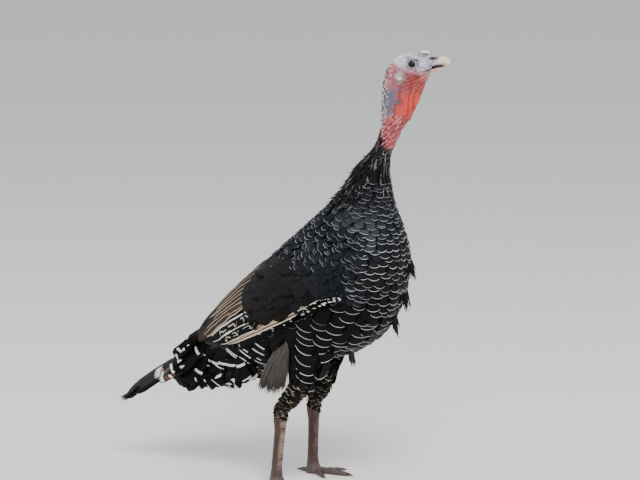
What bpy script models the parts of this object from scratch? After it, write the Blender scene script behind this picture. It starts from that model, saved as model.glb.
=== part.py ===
"""A domestic turkey hen, life-size, standing alert on both feet with the head raised.

Metres, +Z up. The bird faces -Y and its left side is at +X. The origin is on the floor, under the
middle of the bird's box. Profiles are given in the plane of symmetry as (forward, up), measured
from the floor between the ankles.
"""

import math

import bmesh
import bpy
import numpy as np
from mathutils import Matrix, Vector
from mathutils.bvhtree import BVHTree

# ---- driving sizes, in metres -------------------------------------------------------------------
GAP = 0.0003  # clearance between touching pieces
HALF_GAP = GAP / 2
WELD = 0.000002  # points nearer than this are one
BODY_SIDES = 18  # points round each ring of the body
BODY_STEP = 0.0215  # greatest spacing of the body's rings
BOX_MIDDLE = -0.02627  # how far forward of the ankles the middle of the bird's box lies

# The body, from the base of the bill over the crown and down the neck to the root of the tail. Each
# row is one ring: its back point, its throat, breast or belly point, half its width, how square it
# is (2 is an ellipse), and where it is widest, from 0 at the back point to 1 at the other.
HEAD_RINGS = [
    ((0.2355, 0.6655), (0.2270, 0.6415), 0.0085, 2.1, 0.60),
    ((0.2240, 0.6675), (0.2165, 0.6375), 0.0115, 2.1, 0.55),
    ((0.2110, 0.6685), (0.2075, 0.6305), 0.0140, 2.2, 0.48),
    ((0.1980, 0.6685), (0.2000, 0.6225), 0.0165, 2.3, 0.42),
    ((0.1830, 0.6660), (0.1955, 0.6145), 0.0180, 2.3, 0.45),
    ((0.1670, 0.6590), (0.1930, 0.6070), 0.0195, 2.3, 0.50),
    ((0.1560, 0.6465), (0.1910, 0.6010), 0.0200, 2.2, 0.50),
]
NECK_RINGS = [
    ((0.1500, 0.6290), (0.1895, 0.5945), 0.0195, 2.1, 0.48),
    ((0.1475, 0.6090), (0.1875, 0.5855), 0.0190, 2.0, 0.47),
    ((0.1470, 0.5830), (0.1850, 0.5715), 0.0180, 2.0, 0.47),
    ((0.1465, 0.5555), (0.1775, 0.5515), 0.0160, 2.0, 0.48),
    ((0.1410, 0.5370), (0.1690, 0.5335), 0.0150, 2.0, 0.50),
    ((0.1330, 0.5235), (0.1600, 0.5175), 0.0155, 2.0, 0.50),
]
TRUNK_RINGS = [
    ((0.1185, 0.5090), (0.1565, 0.4990), 0.0205, 2.0, 0.50),
    ((0.1005, 0.4905), (0.1575, 0.4765), 0.0300, 2.0, 0.52),
    ((0.0785, 0.4555), (0.1625, 0.4420), 0.0445, 2.0, 0.55),
    ((0.0440, 0.4220), (0.1760, 0.4040), 0.0610, 2.1, 0.55),
    ((0.0060, 0.3880), (0.1870, 0.3640), 0.0750, 2.2, 0.55),
    ((-0.0275, 0.3590), (0.1850, 0.3230), 0.0830, 2.2, 0.52),
    ((-0.0525, 0.3350), (0.1760, 0.2855), 0.0860, 2.2, 0.50),
    ((-0.0715, 0.3160), (0.1560, 0.2500), 0.0865, 2.2, 0.48),
    ((-0.0860, 0.3005), (0.1270, 0.2225), 0.0835, 2.2, 0.46),
    ((-0.1005, 0.2850), (0.0920, 0.2045), 0.0790, 2.2, 0.45),
    ((-0.1150, 0.2680), (0.0445, 0.1905), 0.0715, 2.2, 0.43),
    ((-0.1300, 0.2500), (-0.0080, 0.1785), 0.0620, 2.1, 0.42),
    ((-0.1480, 0.2315), (-0.0520, 0.1665), 0.0500, 2.1, 0.42),
    ((-0.1640, 0.2160), (-0.0900, 0.1600), 0.0380, 2.0, 0.45),
]
# Where the body is parted, as (forward, up) of a point and the angle of the cut's normal above forward.
CUTS = {
    "bill": ((0.2312, 0.6535), -19.5),
    "chin": ((0.2050, 0.6175), 62.0),
    "throat": ((0.1650, 0.5745), 84.0),
    "collar": ((0.1495, 0.5270), 74.0),
    "shoulder": ((0.1160, 0.4680), 70.0),
    "keel": ((0.0685, 0.3270), 28.0),
    "loin": ((-0.0275, 0.2670), 38.0),
}
# The named lengths of the body, each between two of those cuts, from the head back.
BODY_PARTS = [
    ("head", None, "chin", "head_skin"),
    ("neck_upper", "chin", "throat", "throat_skin"),
    ("neck_lower", "throat", "collar", "throat_skin"),
    ("neck_feathered", "collar", "shoulder", "black_feather"),
    ("breast", "shoulder", "keel", "black_feather"),
    ("trunk", "keel", "loin", "black_feather"),
    ("rump", "loin", None, "black_feather"),
]

EYE_RADIUS = 0.0062
EYE_SIDES = 10
EYE_RINGS = 7
EYE_AT = (0.0110, 0.2020, 0.6535)  # from the middle, forward, up
EAR_RADIUS = 0.0068
EAR_PROUD = 0.0045
EAR_AT = (0.0165, 0.1825, 0.6340)

ANKLE_SPREAD = 0.055  # from the middle to each ankle
ANKLES = {"right": -0.006, "left": 0.0005}  # how far forward each ankle is
HOCKS = {"right": (0.0050, 0.1180), "left": (0.0032, 0.1125)}
TOE_ANGLES = {"middle": 0.0, "inner": -42.0, "outer": 42.0, "hind": 172.0}
TOE_LENGTHS = {"middle": 0.058, "inner": 0.042, "outer": 0.044, "hind": 0.024}
CLAW_LENGTHS = {"middle": 0.0125, "inner": 0.0115, "outer": 0.0115, "hind": 0.0105}
TOE_RADIUS = 0.0056

COLOURS = {
    "head_skin": ((0.58, 0.50, 0.56), 0.55),
    "throat_skin": ((0.68, 0.14, 0.10), 0.55),
    "horn": ((0.62, 0.56, 0.42), 0.40),
    "snood_skin": ((0.62, 0.52, 0.50), 0.50),
    "ear_skin": ((0.60, 0.66, 0.58), 0.60),
    "eye_dark": ((0.012, 0.008, 0.008), 0.08),
    "black_feather": ((0.020, 0.021, 0.025), 0.55),
    "laced_feather": ((0.045, 0.050, 0.058), 0.50),
    "brown_feather": ((0.026, 0.016, 0.012), 0.50),
    "buff_feather": ((0.20, 0.13, 0.08), 0.60),
    "barred_feather": ((0.16, 0.16, 0.15), 0.60),
    "down": ((0.16, 0.14, 0.12), 0.85),
    "leg_scale": ((0.19, 0.085, 0.060), 0.50),
    "claw_horn": ((0.030, 0.022, 0.020), 0.35),
}


# ---- small tools --------------------------------------------------------------------------------
def clear_scene():
    for item in list(bpy.data.objects):
        bpy.data.objects.remove(item, do_unlink=True)


def make_collection(name, helper=False):
    group = bpy.data.collections.new(name)
    bpy.context.scene.collection.children.link(group)
    group.hide_render = helper
    return group


def make_material(name):
    colour, roughness = COLOURS[name]
    material = bpy.data.materials.new(name)
    material.use_nodes = True
    shader = material.node_tree.nodes["Principled BSDF"]
    shader.inputs["Base Color"].default_value = (*colour, 1.0)
    shader.inputs["Roughness"].default_value = roughness
    shader.inputs["Metallic"].default_value = 0.0
    material.diffuse_color = (*colour, 1.0)
    return material


def place(side, forward, up):
    """The point at this distance to the bird's left, forward and up."""
    return Vector((side, BOX_MIDDLE - forward, up))


def smooth_rows(rows, counts):
    """Rows of numbers joined by a Catmull-Rom curve, with counts[i] steps from row i to the next."""
    rows = np.array(rows, float)
    ends = np.vstack([2 * rows[0] - rows[1], rows, 2 * rows[-1] - rows[-2]])
    found = []
    for i, count in enumerate(counts):
        a, b, c, d = ends[i : i + 4]
        bend = 2 * a - 5 * b + 4 * c - d
        twist = 3 * b - a - 3 * c + d
        for t in np.arange(count) / count:
            found.append(b + 0.5 * ((c - a) * t + bend * t**2 + twist * t**3))
    return np.array(found + [rows[-1]])


def even_steps(rows, step):
    """How many steps of at most this length fit between each two rows, by their first four numbers."""
    rows = np.array(rows, float)[:, :4]
    middles = (rows[:, :2] + rows[:, 2:]) / 2
    return [max(1, math.ceil(np.linalg.norm(b - a) / step)) for a, b in zip(middles, middles[1:])]


def rounded(angle, power):
    """Cosine and sine of the angle, squared off as a superellipse of this power."""
    pair = np.array((math.cos(angle), math.sin(angle)))
    return np.sign(pair) * np.abs(pair) ** (2 / power)


def upright_ring(back, front, half_width, power, widest, sides):
    """A ring across the plane of symmetry, from its back point round to its front point."""
    back = np.array(back)
    span = np.array(front) - back
    points = []
    for i in range(sides):
        along, across = rounded(2 * math.pi * (i + 0.5) / sides, power)
        reach = widest if along > 0 else 1 - widest
        forward, up = back + span * (widest - along * reach)
        points.append(place(across * half_width, forward, up))
    return points


def lens_ring(upper, lower, outward, crown, depth, sides):
    """A ring that is a lens between two points, bulging by crown outward and by depth inward."""
    upper, lower, outward = Vector(upper), Vector(lower), Vector(outward).normalized()
    points = []
    for i in range(sides):
        angle = 2 * math.pi * (i + 0.5) / sides
        bulge = crown if math.sin(angle) > 0 else depth
        middle = upper.lerp(lower, 0.5 - 0.5 * math.cos(angle))
        points.append(middle + outward * math.sin(angle) * bulge)
    return points


def loft(rings):
    """A closed mesh over rings of equally many points, its faces turned outward."""
    made = bmesh.new()
    rows = [[made.verts.new(point) for point in ring] for ring in rings]
    for row, after in zip(rows, rows[1:]):
        for i in range(len(row)):
            j = (i + 1) % len(row)
            made.faces.new((row[i], row[j], after[j], after[i]))
    made.faces.new(rows[0])
    made.faces.new(rows[-1][::-1])
    bmesh.ops.recalc_face_normals(made, faces=made.faces)
    if made.calc_volume(signed=True) < 0:
        bmesh.ops.reverse_faces(made, faces=made.faces)
    bmesh.ops.triangulate(made, faces=made.faces)
    return made


def add_object(made, name, group, material=None):
    mesh = bpy.data.meshes.new(name)
    made.to_mesh(mesh)
    made.free()
    mesh.shade_smooth()
    mesh.set_sharp_from_angle(angle=math.radians(40))
    item = bpy.data.objects.new(name, mesh)
    group.objects.link(item)
    if material:
        mesh.materials.append(MATERIALS[material])
    if group.hide_render:
        item.hide_render = True
        item.display_type = "WIRE"
    return item


def swollen(source, name):
    """A cutter: a copy of the object, grown by the gap."""
    item = bpy.data.objects.new(name, source.data)
    CUTTERS.objects.link(item)
    item.hide_render = True
    item.display_type = "WIRE"
    grow = item.modifiers.new("grow", "DISPLACE")
    grow.strength = GAP
    grow.mid_level = 0.0
    return item


def cut_by(item, *cutters):
    """Cuts the object by each of these, the largest form last, which keeps the exact solver closed."""
    for cutter in reversed(cutters):
        cut = item.modifiers.new("cut_" + cutter.name, "BOOLEAN")
        cut.operation = "DIFFERENCE"
        cut.solver = "EXACT"
        cut.object = cutter
    return item


def bake(item):
    """Applies the object's modifiers and keeps only its largest body."""
    bpy.context.view_layer.update()
    graph = bpy.context.evaluated_depsgraph_get()
    mesh = bpy.data.meshes.new_from_object(item.evaluated_get(graph))
    item.modifiers.clear()
    made = bmesh.new()
    made.from_mesh(mesh)
    bpy.data.meshes.remove(mesh)
    bmesh.ops.remove_doubles(made, verts=made.verts, dist=WELD)
    bmesh.ops.dissolve_degenerate(made, edges=made.edges, dist=WELD)
    keep_largest(made)
    bmesh.ops.triangulate(made, faces=made.faces)
    made.to_mesh(item.data)
    made.free()
    return item


def keep_largest(made):
    """Removes every separate body but the one with the most vertices."""
    left = set(made.verts)
    bodies = []
    while left:
        body, edge = set(), {left.pop()}
        while edge:
            body |= edge
            edge = {e.other_vert(v) for v in edge for e in v.link_edges} - body
        left -= body
        bodies.append(body)
    bodies.sort(key=len, reverse=True)
    for body in bodies[1:]:
        bmesh.ops.delete(made, geom=list(body), context="VERTS")


def halve(made, point, normal):
    """Cuts the mesh by a plane, keeps the side that the normal points away from, and closes the cut."""
    found = bmesh.ops.bisect_plane(
        made,
        geom=made.verts[:] + made.edges[:] + made.faces[:],
        dist=0.000001,
        plane_co=point,
        plane_no=normal,
        clear_outer=True,
    )
    edges = [e for e in found["geom_cut"] if isinstance(e, bmesh.types.BMEdge)]
    bmesh.ops.contextual_create(made, geom=edges)
    bmesh.ops.recalc_face_normals(made, faces=made.faces)


def cut_plane(name):
    (forward, up), angle = CUTS[name]
    normal = Vector((0, -math.cos(math.radians(angle)), math.sin(math.radians(angle))))
    return place(0, forward, up), normal


def mirrored(source, name, group=None):
    """The object's twin on the other side of the bird."""
    made = bmesh.new()
    made.from_mesh(source.data)
    bmesh.ops.transform(made, matrix=Matrix.Scale(-1, 4, Vector((1, 0, 0))), verts=made.verts)
    bmesh.ops.reverse_faces(made, faces=made.faces)
    twin = add_object(made, name, group or TURKEY)
    for material in source.data.materials:
        twin.data.materials.append(material)
    return twin


# ---- the body -----------------------------------------------------------------------------------
def body_rings():
    rows = [(*back, *front, *rest) for back, front, *rest in HEAD_RINGS + NECK_RINGS + TRUNK_RINGS]
    rings = []
    for row in smooth_rows(rows, even_steps(rows, BODY_STEP)):
        back, front, (half_width, power, widest) = row[:2], row[2:4], row[4:]
        rings.append(upright_ring(back, front, half_width, power, widest, BODY_SIDES))
    return rings


def build_body():
    """The whole body as a cutter, and its named lengths as nodes with thin cuts between them."""
    whole = add_object(loft(body_rings()), "body_whole", CUTTERS)
    sockets = [build_socket(side) for side in (-1, 1)]
    for name, front_cut, rear_cut, material in BODY_PARTS:
        made = bmesh.new()
        made.from_mesh(whole.data)
        if front_cut:
            point, normal = cut_plane(front_cut)
            halve(made, point - normal * HALF_GAP, normal)
        if rear_cut:
            point, normal = cut_plane(rear_cut)
            halve(made, point + normal * HALF_GAP, -normal)
        item = add_object(made, name, TURKEY, material)
        if name == "head":
            cut_by(item, *sockets)
            bake(item)
    return whole


def ball(radii, centre, sides, rings):
    made = bmesh.new()
    bmesh.ops.create_uvsphere(made, u_segments=sides, v_segments=rings, radius=1.0)
    turn = Matrix.Rotation(math.pi / 2, 4, "Y")
    size = Matrix.Diagonal((*radii, 1.0))
    bmesh.ops.transform(made, matrix=Matrix.Translation(centre) @ size @ turn, verts=made.verts)
    bmesh.ops.triangulate(made, faces=made.faces)
    return made


def build_socket(side):
    across, forward, up = EYE_AT
    radius = EYE_RADIUS + GAP
    made = ball((radius,) * 3, place(side * across, forward, up), EYE_SIDES, EYE_RINGS)
    return add_object(made, f"eye_socket_{'left' if side > 0 else 'right'}", CUTTERS)


def build_eyes():
    across, forward, up = EYE_AT
    for side, label in ((-1, "right"), (1, "left")):
        made = ball((EYE_RADIUS,) * 3, place(side * across, forward, up), EYE_SIDES, EYE_RINGS)
        add_object(made, f"eye_{label}", TURKEY, "eye_dark")


def build_ears(body_cutter):
    """The round bare patch over each ear, standing a little proud of the cheek."""
    across, forward, up = EAR_AT
    made = ball((EAR_PROUD, EAR_RADIUS, EAR_RADIUS), place(-across, forward, up), EYE_SIDES, EYE_RINGS)
    ear = bake(cut_by(add_object(made, "ear_right", TURKEY, "ear_skin"), body_cutter))
    mirrored(ear, "ear_left")


# The rings of each half of the bill, from its root to its tip, in the form of the body's.
BILL_RINGS = {
    "bill_upper": [
        ((0.2290, 0.6660), (0.2215, 0.6450), 0.0094, 2.2, 0.70),
        ((0.2385, 0.6660), (0.2350, 0.6515), 0.0080, 2.3, 0.70),
        ((0.2450, 0.6660), (0.2425, 0.6535), 0.0070, 2.4, 0.68),
        ((0.2510, 0.6655), (0.2495, 0.6540), 0.0055, 2.3, 0.62),
        ((0.2560, 0.6625), (0.2540, 0.6530), 0.0035, 2.1, 0.55),
        ((0.2585, 0.6575), (0.2565, 0.6515), 0.0020, 2.0, 0.50),
        ((0.2575, 0.6520), (0.2570, 0.6510), 0.0005, 2.0, 0.50),
    ],
    "bill_lower": [
        ((0.2190, 0.6440), (0.2180, 0.6370), 0.0085, 2.1, 0.40),
        ((0.2305, 0.6475), (0.2305, 0.6410), 0.0075, 2.2, 0.40),
        ((0.2395, 0.6495), (0.2400, 0.6445), 0.0055, 2.2, 0.40),
        ((0.2470, 0.6505), (0.2475, 0.6475), 0.0040, 2.1, 0.40),
        ((0.2515, 0.6510), (0.2520, 0.6495), 0.0015, 2.0, 0.50),
    ],
}
BILL_SIDES = 12


def build_bill():
    """The horny bill, slightly open: the upper half hooks down over the lower. Returns a cutter."""
    bills = []
    for name, rings in BILL_RINGS.items():
        made = loft([upright_ring(*ring, BILL_SIDES) for ring in rings])
        point, normal = cut_plane("bill")
        halve(made, point + normal * GAP, -normal)
        bills.append(add_object(made, name, TURKEY, "horn"))
    return swollen(bills[1], "bill_lower_cutter")


SNOOD_RADII = (0.0040, 0.0070, 0.0036)
SNOOD_AT = (0.2165, 0.6700)  # forward, up


def build_snood(body_cutter):
    """The short soft snood, lying over the root of the bill."""
    made = ball(SNOOD_RADII, place(0, *SNOOD_AT), EYE_SIDES, EYE_RINGS)
    bake(cut_by(add_object(made, "snood", TURKEY, "snood_skin"), body_cutter))


# The dewlap's rings from the chin down: back point, front edge, half width, squareness and widest.
DEWLAP_RINGS = [
    ((0.2130, 0.6435), (0.2255, 0.6385), 0.0050, 1.7, 0.35),
    ((0.1945, 0.6280), (0.2205, 0.6285), 0.0080, 1.7, 0.35),
    ((0.1805, 0.6105), (0.2130, 0.6085), 0.0092, 1.7, 0.35),
    ((0.1745, 0.5900), (0.2035, 0.5880), 0.0088, 1.7, 0.35),
    ((0.1700, 0.5705), (0.1930, 0.5690), 0.0078, 1.7, 0.35),
    ((0.1660, 0.5540), (0.1815, 0.5560), 0.0062, 1.7, 0.35),
    ((0.1615, 0.5395), (0.1710, 0.5420), 0.0040, 1.7, 0.35),
]
DEWLAP_SIDES = 12


def build_dewlap(cutters):
    """The thin flap of skin down the middle of the throat."""
    rings = [upright_ring(*ring, DEWLAP_SIDES) for ring in DEWLAP_RINGS]
    bake(cut_by(add_object(loft(rings), "dewlap", TURKEY, "throat_skin"), *cutters))


# ---- the wings ----------------------------------------------------------------------------------
# Each layer of a folded wing, from the body out: rows along the wing from the wrist to the tip, each
# with its upper edge and its lower edge as (forward, up).
WING_LAYERS = {
    "wing_primaries": [
        ((0.110, 0.322), (0.125, 0.304)),
        ((0.078, 0.308), (0.094, 0.281)),
        ((0.034, 0.287), (0.050, 0.255)),
        ((-0.014, 0.260), (0.001, 0.231)),
        ((-0.062, 0.233), (-0.050, 0.208)),
        ((-0.110, 0.212), (-0.102, 0.196)),
        ((-0.134, 0.203), (-0.130, 0.197)),
    ],
    "wing_secondaries": [
        ((0.086, 0.374), (0.112, 0.312)),
        ((0.046, 0.364), (0.080, 0.292)),
        ((0.006, 0.348), (0.043, 0.271)),
        ((-0.040, 0.333), (-0.008, 0.244)),
        ((-0.080, 0.304), (-0.056, 0.222)),
        ((-0.120, 0.262), (-0.101, 0.208)),
        ((-0.153, 0.217), (-0.148, 0.205)),
    ],
    "wing_coverts": [
        ((0.134, 0.387), (0.139, 0.369)),
        ((0.109, 0.391), (0.131, 0.330)),
        ((0.067, 0.384), (0.100, 0.303)),
        ((0.023, 0.366), (0.057, 0.284)),
        ((-0.015, 0.343), (0.016, 0.265)),
        ((-0.043, 0.320), (-0.022, 0.266)),
        ((-0.056, 0.300), (-0.049, 0.284)),
    ],
    "wing_shoulder": [
        ((0.135, 0.384), (0.138, 0.372)),
        ((0.118, 0.391), (0.133, 0.348)),
        ((0.090, 0.393), (0.110, 0.340)),
        ((0.056, 0.384), (0.074, 0.337)),
        ((0.026, 0.371), (0.041, 0.341)),
        ((0.008, 0.361), (0.015, 0.351)),
    ],
}
# How far the edges and the middle of each layer stand off the flank, and the layer's material.
WING_LIFTS = {
    "wing_primaries": (0.0005, 0.0040, "black_feather"),
    "wing_secondaries": (0.0030, 0.0065, "buff_feather"),
    "wing_coverts": (0.0065, 0.0110, "brown_feather"),
    "wing_shoulder": (0.0110, 0.0145, "laced_feather"),
}
WING_DEPTH = 0.010  # how far a layer reaches in before it is seated on what is under it
WING_SIDES = 8
WING_TIP_SPREAD = {"upper": 0.018, "lower": 0.040}  # from the middle to its edges, past the flank


def flank(surface, point, least):
    """How far the body's side is from the middle at this (forward, up), or the least value past it."""
    start = place(-1.0, *point)
    hit = surface.ray_cast(start, Vector((1, 0, 0)))[0]
    return max(least, -hit.x) if hit else least


def wing_layer(name, surface):
    edge, thick, _ = WING_LIFTS[name]
    rows = [(*upper, *lower) for upper, lower in WING_LAYERS[name]]
    rings = []
    for row in smooth_rows(rows, [1] * (len(rows) - 1)):
        upper, lower = row[:2], row[2:]
        middle = (upper + lower) / 2
        out_upper = flank(surface, upper, WING_TIP_SPREAD["upper"]) + edge
        out_lower = flank(surface, lower, WING_TIP_SPREAD["lower"]) + edge
        least = (WING_TIP_SPREAD["upper"] + WING_TIP_SPREAD["lower"]) / 2
        crown = flank(surface, middle, least) + thick - (out_upper + out_lower) / 2
        rings.append(
            lens_ring(
                place(-out_upper, *upper),
                place(-out_lower, *lower),
                (-1.0, 0.0, 0.15),
                max(crown, thick - edge),
                min(WING_DEPTH, np.linalg.norm(upper - lower) / 2),
                WING_SIDES,
            )
        )
    return loft(rings)


def build_wings(body_cutter):
    """Four layers a side, each seated on the body and on the layers under it. Returns the cutters."""
    made = bmesh.new()
    made.from_mesh(body_cutter.data)
    surface = BVHTree.FromBMesh(made)
    made.free()
    under = [body_cutter]
    for name, (_, _, material) in WING_LIFTS.items():
        form = add_object(wing_layer(name, surface), name + "_form", CUTTERS)
        item = add_object(wing_layer(name, surface), name + "_right", TURKEY, material)
        mirrored(bake(cut_by(item, *under)), name + "_left")
        under.append(swollen(form, name + "_cutter"))
    cutters = {"right": under[1:], "left": []}
    for cutter in cutters["right"]:
        form = mirrored(cutter, cutter.name + "_mirror", CUTTERS)
        cutters["left"].append(swollen(form, cutter.name + "_left"))
    return cutters


# ---- the tail -----------------------------------------------------------------------------------
def blade(rows, lean=0.0, sides=10):
    """A flat tapering form along the bird: rows of forward, up, half width and half thickness."""
    rings = []
    for forward, up, half_width, half_thick in smooth_rows(rows, [1] * (len(rows) - 1)):
        centre = place(0, forward, up)
        ring = []
        for i in range(sides):
            angle = 2 * math.pi * (i + 0.5) / sides
            across = math.cos(angle) * half_width
            arch = -0.25 * half_width * (across / half_width) ** 2
            ring.append(centre + Vector((across, 0, math.sin(angle) * half_thick + arch + lean * across)))
        rings.append(ring)
    return loft(rings)


# The pieces of the tail, in the order they are laid: each piece's material, what it is seated on
# beside the body, how far it leans down to the right, and its rows of forward, up, half width and
# half thickness.
TAIL_PIECES = {
    "tail_long_feather": ("brown_feather", (), 0.50, [
        (-0.170, 0.1900, 0.010, 0.0012),
        (-0.212, 0.1620, 0.015, 0.0014),
        (-0.256, 0.1330, 0.017, 0.0014),
        (-0.292, 0.1110, 0.014, 0.0012),
        (-0.311, 0.0990, 0.005, 0.0008),
    ]),
    "tail": ("barred_feather", ("tail_long_feather",), 0.0, [
        (-0.126, 0.2100, 0.042, 0.0220),
        (-0.162, 0.1880, 0.047, 0.0180),
        (-0.198, 0.1660, 0.046, 0.0130),
        (-0.226, 0.1500, 0.040, 0.0080),
        (-0.243, 0.1400, 0.022, 0.0030),
    ]),
    "tail_coverts_upper": ("barred_feather", ("tail",), 0.0, [
        (-0.115, 0.2500, 0.044, 0.0110),
        (-0.150, 0.2260, 0.048, 0.0110),
        (-0.184, 0.2000, 0.044, 0.0090),
        (-0.212, 0.1780, 0.028, 0.0030),
    ]),
    "tail_coverts_under": ("barred_feather", ("tail", "tail_long_feather"), 0.0, [
        (-0.048, 0.1810, 0.050, 0.0240),
        (-0.090, 0.1700, 0.052, 0.0250),
        (-0.130, 0.1640, 0.048, 0.0230),
        (-0.168, 0.1570, 0.042, 0.0180),
        (-0.194, 0.1490, 0.032, 0.0110),
        (-0.210, 0.1440, 0.018, 0.0040),
    ]),
}


def build_tail(cutters_around):
    """Coverts above and below, the folded tail between them, and the one long feather that passes it."""
    cutters = {}
    for name, (material, under, lean, rows) in TAIL_PIECES.items():
        form = add_object(blade(rows, lean), name + "_form", CUTTERS)
        item = add_object(blade(rows, lean), name, TURKEY, material)
        bake(cut_by(item, *cutters_around, *[cutters[other] for other in under]))
        cutters[name] = swollen(form, name + "_cutter")
    return list(cutters.values())


# ---- down and loose feathers --------------------------------------------------------------------
# The tuft of down behind each thigh, from its root down: out, forward, up, half length, half depth.
FLANK_DOWN_ROWS = [
    (0.0490, 0.0115, 0.2105, 0.010, 0.012),
    (0.0550, 0.0000, 0.1845, 0.015, 0.014),
    (0.0530, -0.0150, 0.1595, 0.020, 0.013),
    (0.0495, -0.0265, 0.1450, 0.016, 0.008),
]
# Each ragged tuft: its root and its tip, as (left, forward, up), and half its width.
TUFTS = {
    "breast_tuft_upper": ((0.020, 0.168, 0.3560), (0.026, 0.1925, 0.3230), 0.0075),
    "breast_tuft_middle": ((0.018, 0.164, 0.3150), (0.022, 0.1840, 0.2740), 0.0075),
    "breast_tuft_lower": ((0.010, 0.145, 0.2700), (0.012, 0.1740, 0.2370), 0.0080),
    "belly_tuft": ((0.000, 0.085, 0.2250), (0.000, 0.1030, 0.1860), 0.0080),
}
TUFT_SHAPE = ((0.0, 0.7), (0.35, 1.0), (0.75, 0.75), (1.0, 0.15))  # (along, share of its width)
TUFT_FACING = Vector((-0.88, -0.47, 0.0))
TUFT_THICK = 0.0015
TUFT_CROWN = 0.0020


def build_loose_feathers(cutters):
    """The downy tuft on each flank, and the ragged feathers that hang from the breast and belly."""
    for label, outward in (("right", -1), ("left", 1)):
        rings = [round_ring(outward * out, *row, sides=10) for out, *row in FLANK_DOWN_ROWS]
        bake(cut_by(add_object(loft(rings), "flank_down_" + label, TURKEY, "down"), *cutters))
    for name, (root, tip, half_width) in TUFTS.items():
        root, tip = place(*root), place(*tip)
        rings = []
        for along, width in TUFT_SHAPE:
            centre = root.lerp(tip, along)
            spread = TUFT_FACING.cross(tip - root).normalized() * half_width * width
            crown = TUFT_THICK + TUFT_CROWN * width
            rings.append(lens_ring(centre - spread, centre + spread, TUFT_FACING, crown, TUFT_THICK, 8))
        bake(cut_by(add_object(loft(rings), name, TURKEY, "brown_feather"), *cutters[:1]))


# ---- the legs -----------------------------------------------------------------------------------
def round_ring(side, forward, up, half_length, half_width, sides=12):
    centre = place(side, forward, up)
    return [
        centre + Vector((math.sin(a) * half_width, math.cos(a) * half_length, 0))
        for a in (2 * math.pi * (i + 0.5) / sides for i in range(sides))
    ]


# The feathered leg from under the wing to the hock: forward on the right side and on the left, up,
# half length, half width and out.
LEG_ROWS = [
    (0.0480, 0.0440, 0.2480, 0.0440, 0.0300, 0.044),
    (0.0500, 0.0380, 0.2140, 0.0390, 0.0280, 0.047),
    (0.0490, 0.0275, 0.1840, 0.0270, 0.0230, 0.051),
    (0.0365, 0.0190, 0.1590, 0.0185, 0.0180, 0.054),
    (0.0225, 0.0155, 0.1400, 0.0175, 0.0150, 0.055),
    (0.0120, 0.0075, 0.1280, 0.0160, 0.0126, 0.055),
    (0.0055, 0.0035, 0.1215, 0.0120, 0.0106, 0.055),
]
LEG_STEPS = [1, 2, 2, 1, 1, 1]
LEG_FREE = (0.248, 0.158)  # between these heights the leg comes down to its own hock
LEG_HOCK_UP = 0.118  # the height of the hock that the rows above lead to
LEG_FULLNESS = {"right": 1.0, "left": 0.88}  # share of the half length above
KNEE_AT = (0.045, 0.1960)  # where thigh and drumstick are parted, as (forward, up)
KNEE_NORMAL = Vector((0, 0.35, 1)).normalized()


def build_thigh(label, cutters):
    """The feathered thigh and drumstick, parted under the belly. Returns the whole form as a cutter."""
    side = -ANKLE_SPREAD if label == "right" else ANKLE_SPREAD
    lower = HOCKS[label][1] - LEG_HOCK_UP
    rings = []
    for right, left, up, half_length, half_width, out in smooth_rows(LEG_ROWS, LEG_STEPS):
        forward = right if label == "right" else left
        share = min(1.0, max(0.0, (LEG_FREE[0] - up) / (LEG_FREE[0] - LEG_FREE[1])))
        half_length *= LEG_FULLNESS[label]
        out = math.copysign(out, side)
        rings.append(round_ring(out, forward, up + lower * share, half_length, half_width))
    thigh_form = loft(rings)
    split = place(side, *KNEE_AT)
    for name, normal in (("thigh_", -KNEE_NORMAL), ("drumstick_", KNEE_NORMAL)):
        made = thigh_form.copy()
        halve(made, split - normal * HALF_GAP, normal)
        item = add_object(made, name + label, TURKEY, "black_feather")
        bake(cut_by(item, *cutters))
    whole = add_object(thigh_form, f"leg_{label}_form", CUTTERS)
    return swollen(whole, f"leg_{label}_cutter")


# The shank from the hock down: how far along, half length, half width and shift forward.
SHANK_ROWS = [
    (0.00, 0.0104, 0.0094, 0.0005),
    (0.06, 0.0118, 0.0104, -0.0005),
    (0.15, 0.0110, 0.0092, -0.0010),
    (0.28, 0.0092, 0.0074, 0.0),
    (0.55, 0.0087, 0.0068, 0.0),
    (0.80, 0.0088, 0.0072, 0.0),
    (0.91, 0.0102, 0.0094, 0.0005),
    (0.965, 0.0125, 0.0122, 0.0020),
    (1.00, 0.0145, 0.0135, 0.0025),
]
SHANK_INTO_HOCK = 0.0035  # how far its top stands above the middle of the hock
PAD_HEIGHT = 0.0040  # the widest part of the foot's pad, above the floor
PAD_FORWARD = 0.0025
PAD_SOLE = (0.0125, 0.0115)  # half length and half width of its flat sole


def build_shank(label):
    """The bare scaly shank, from the knob of the hock to the pad of the foot. Returns a cutter."""
    side = -ANKLE_SPREAD if label == "right" else ANKLE_SPREAD
    ankle = ANKLES[label]
    hock_forward, hock_up = HOCKS[label]
    top = hock_up + SHANK_INTO_HOCK
    rings = []
    for along, half_length, half_width, shift in SHANK_ROWS:
        forward = hock_forward + (ankle - hock_forward) * along + shift
        up = top - (top - PAD_HEIGHT) * along
        rings.append(round_ring(side, forward, up, half_length, half_width))
    rings.append(round_ring(side, ankle + PAD_FORWARD, 0.0, *PAD_SOLE))
    shank = add_object(loft(rings), f"shank_{label}", TURKEY, "leg_scale")
    return swollen(shank, f"shank_{label}_cutter")


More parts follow.
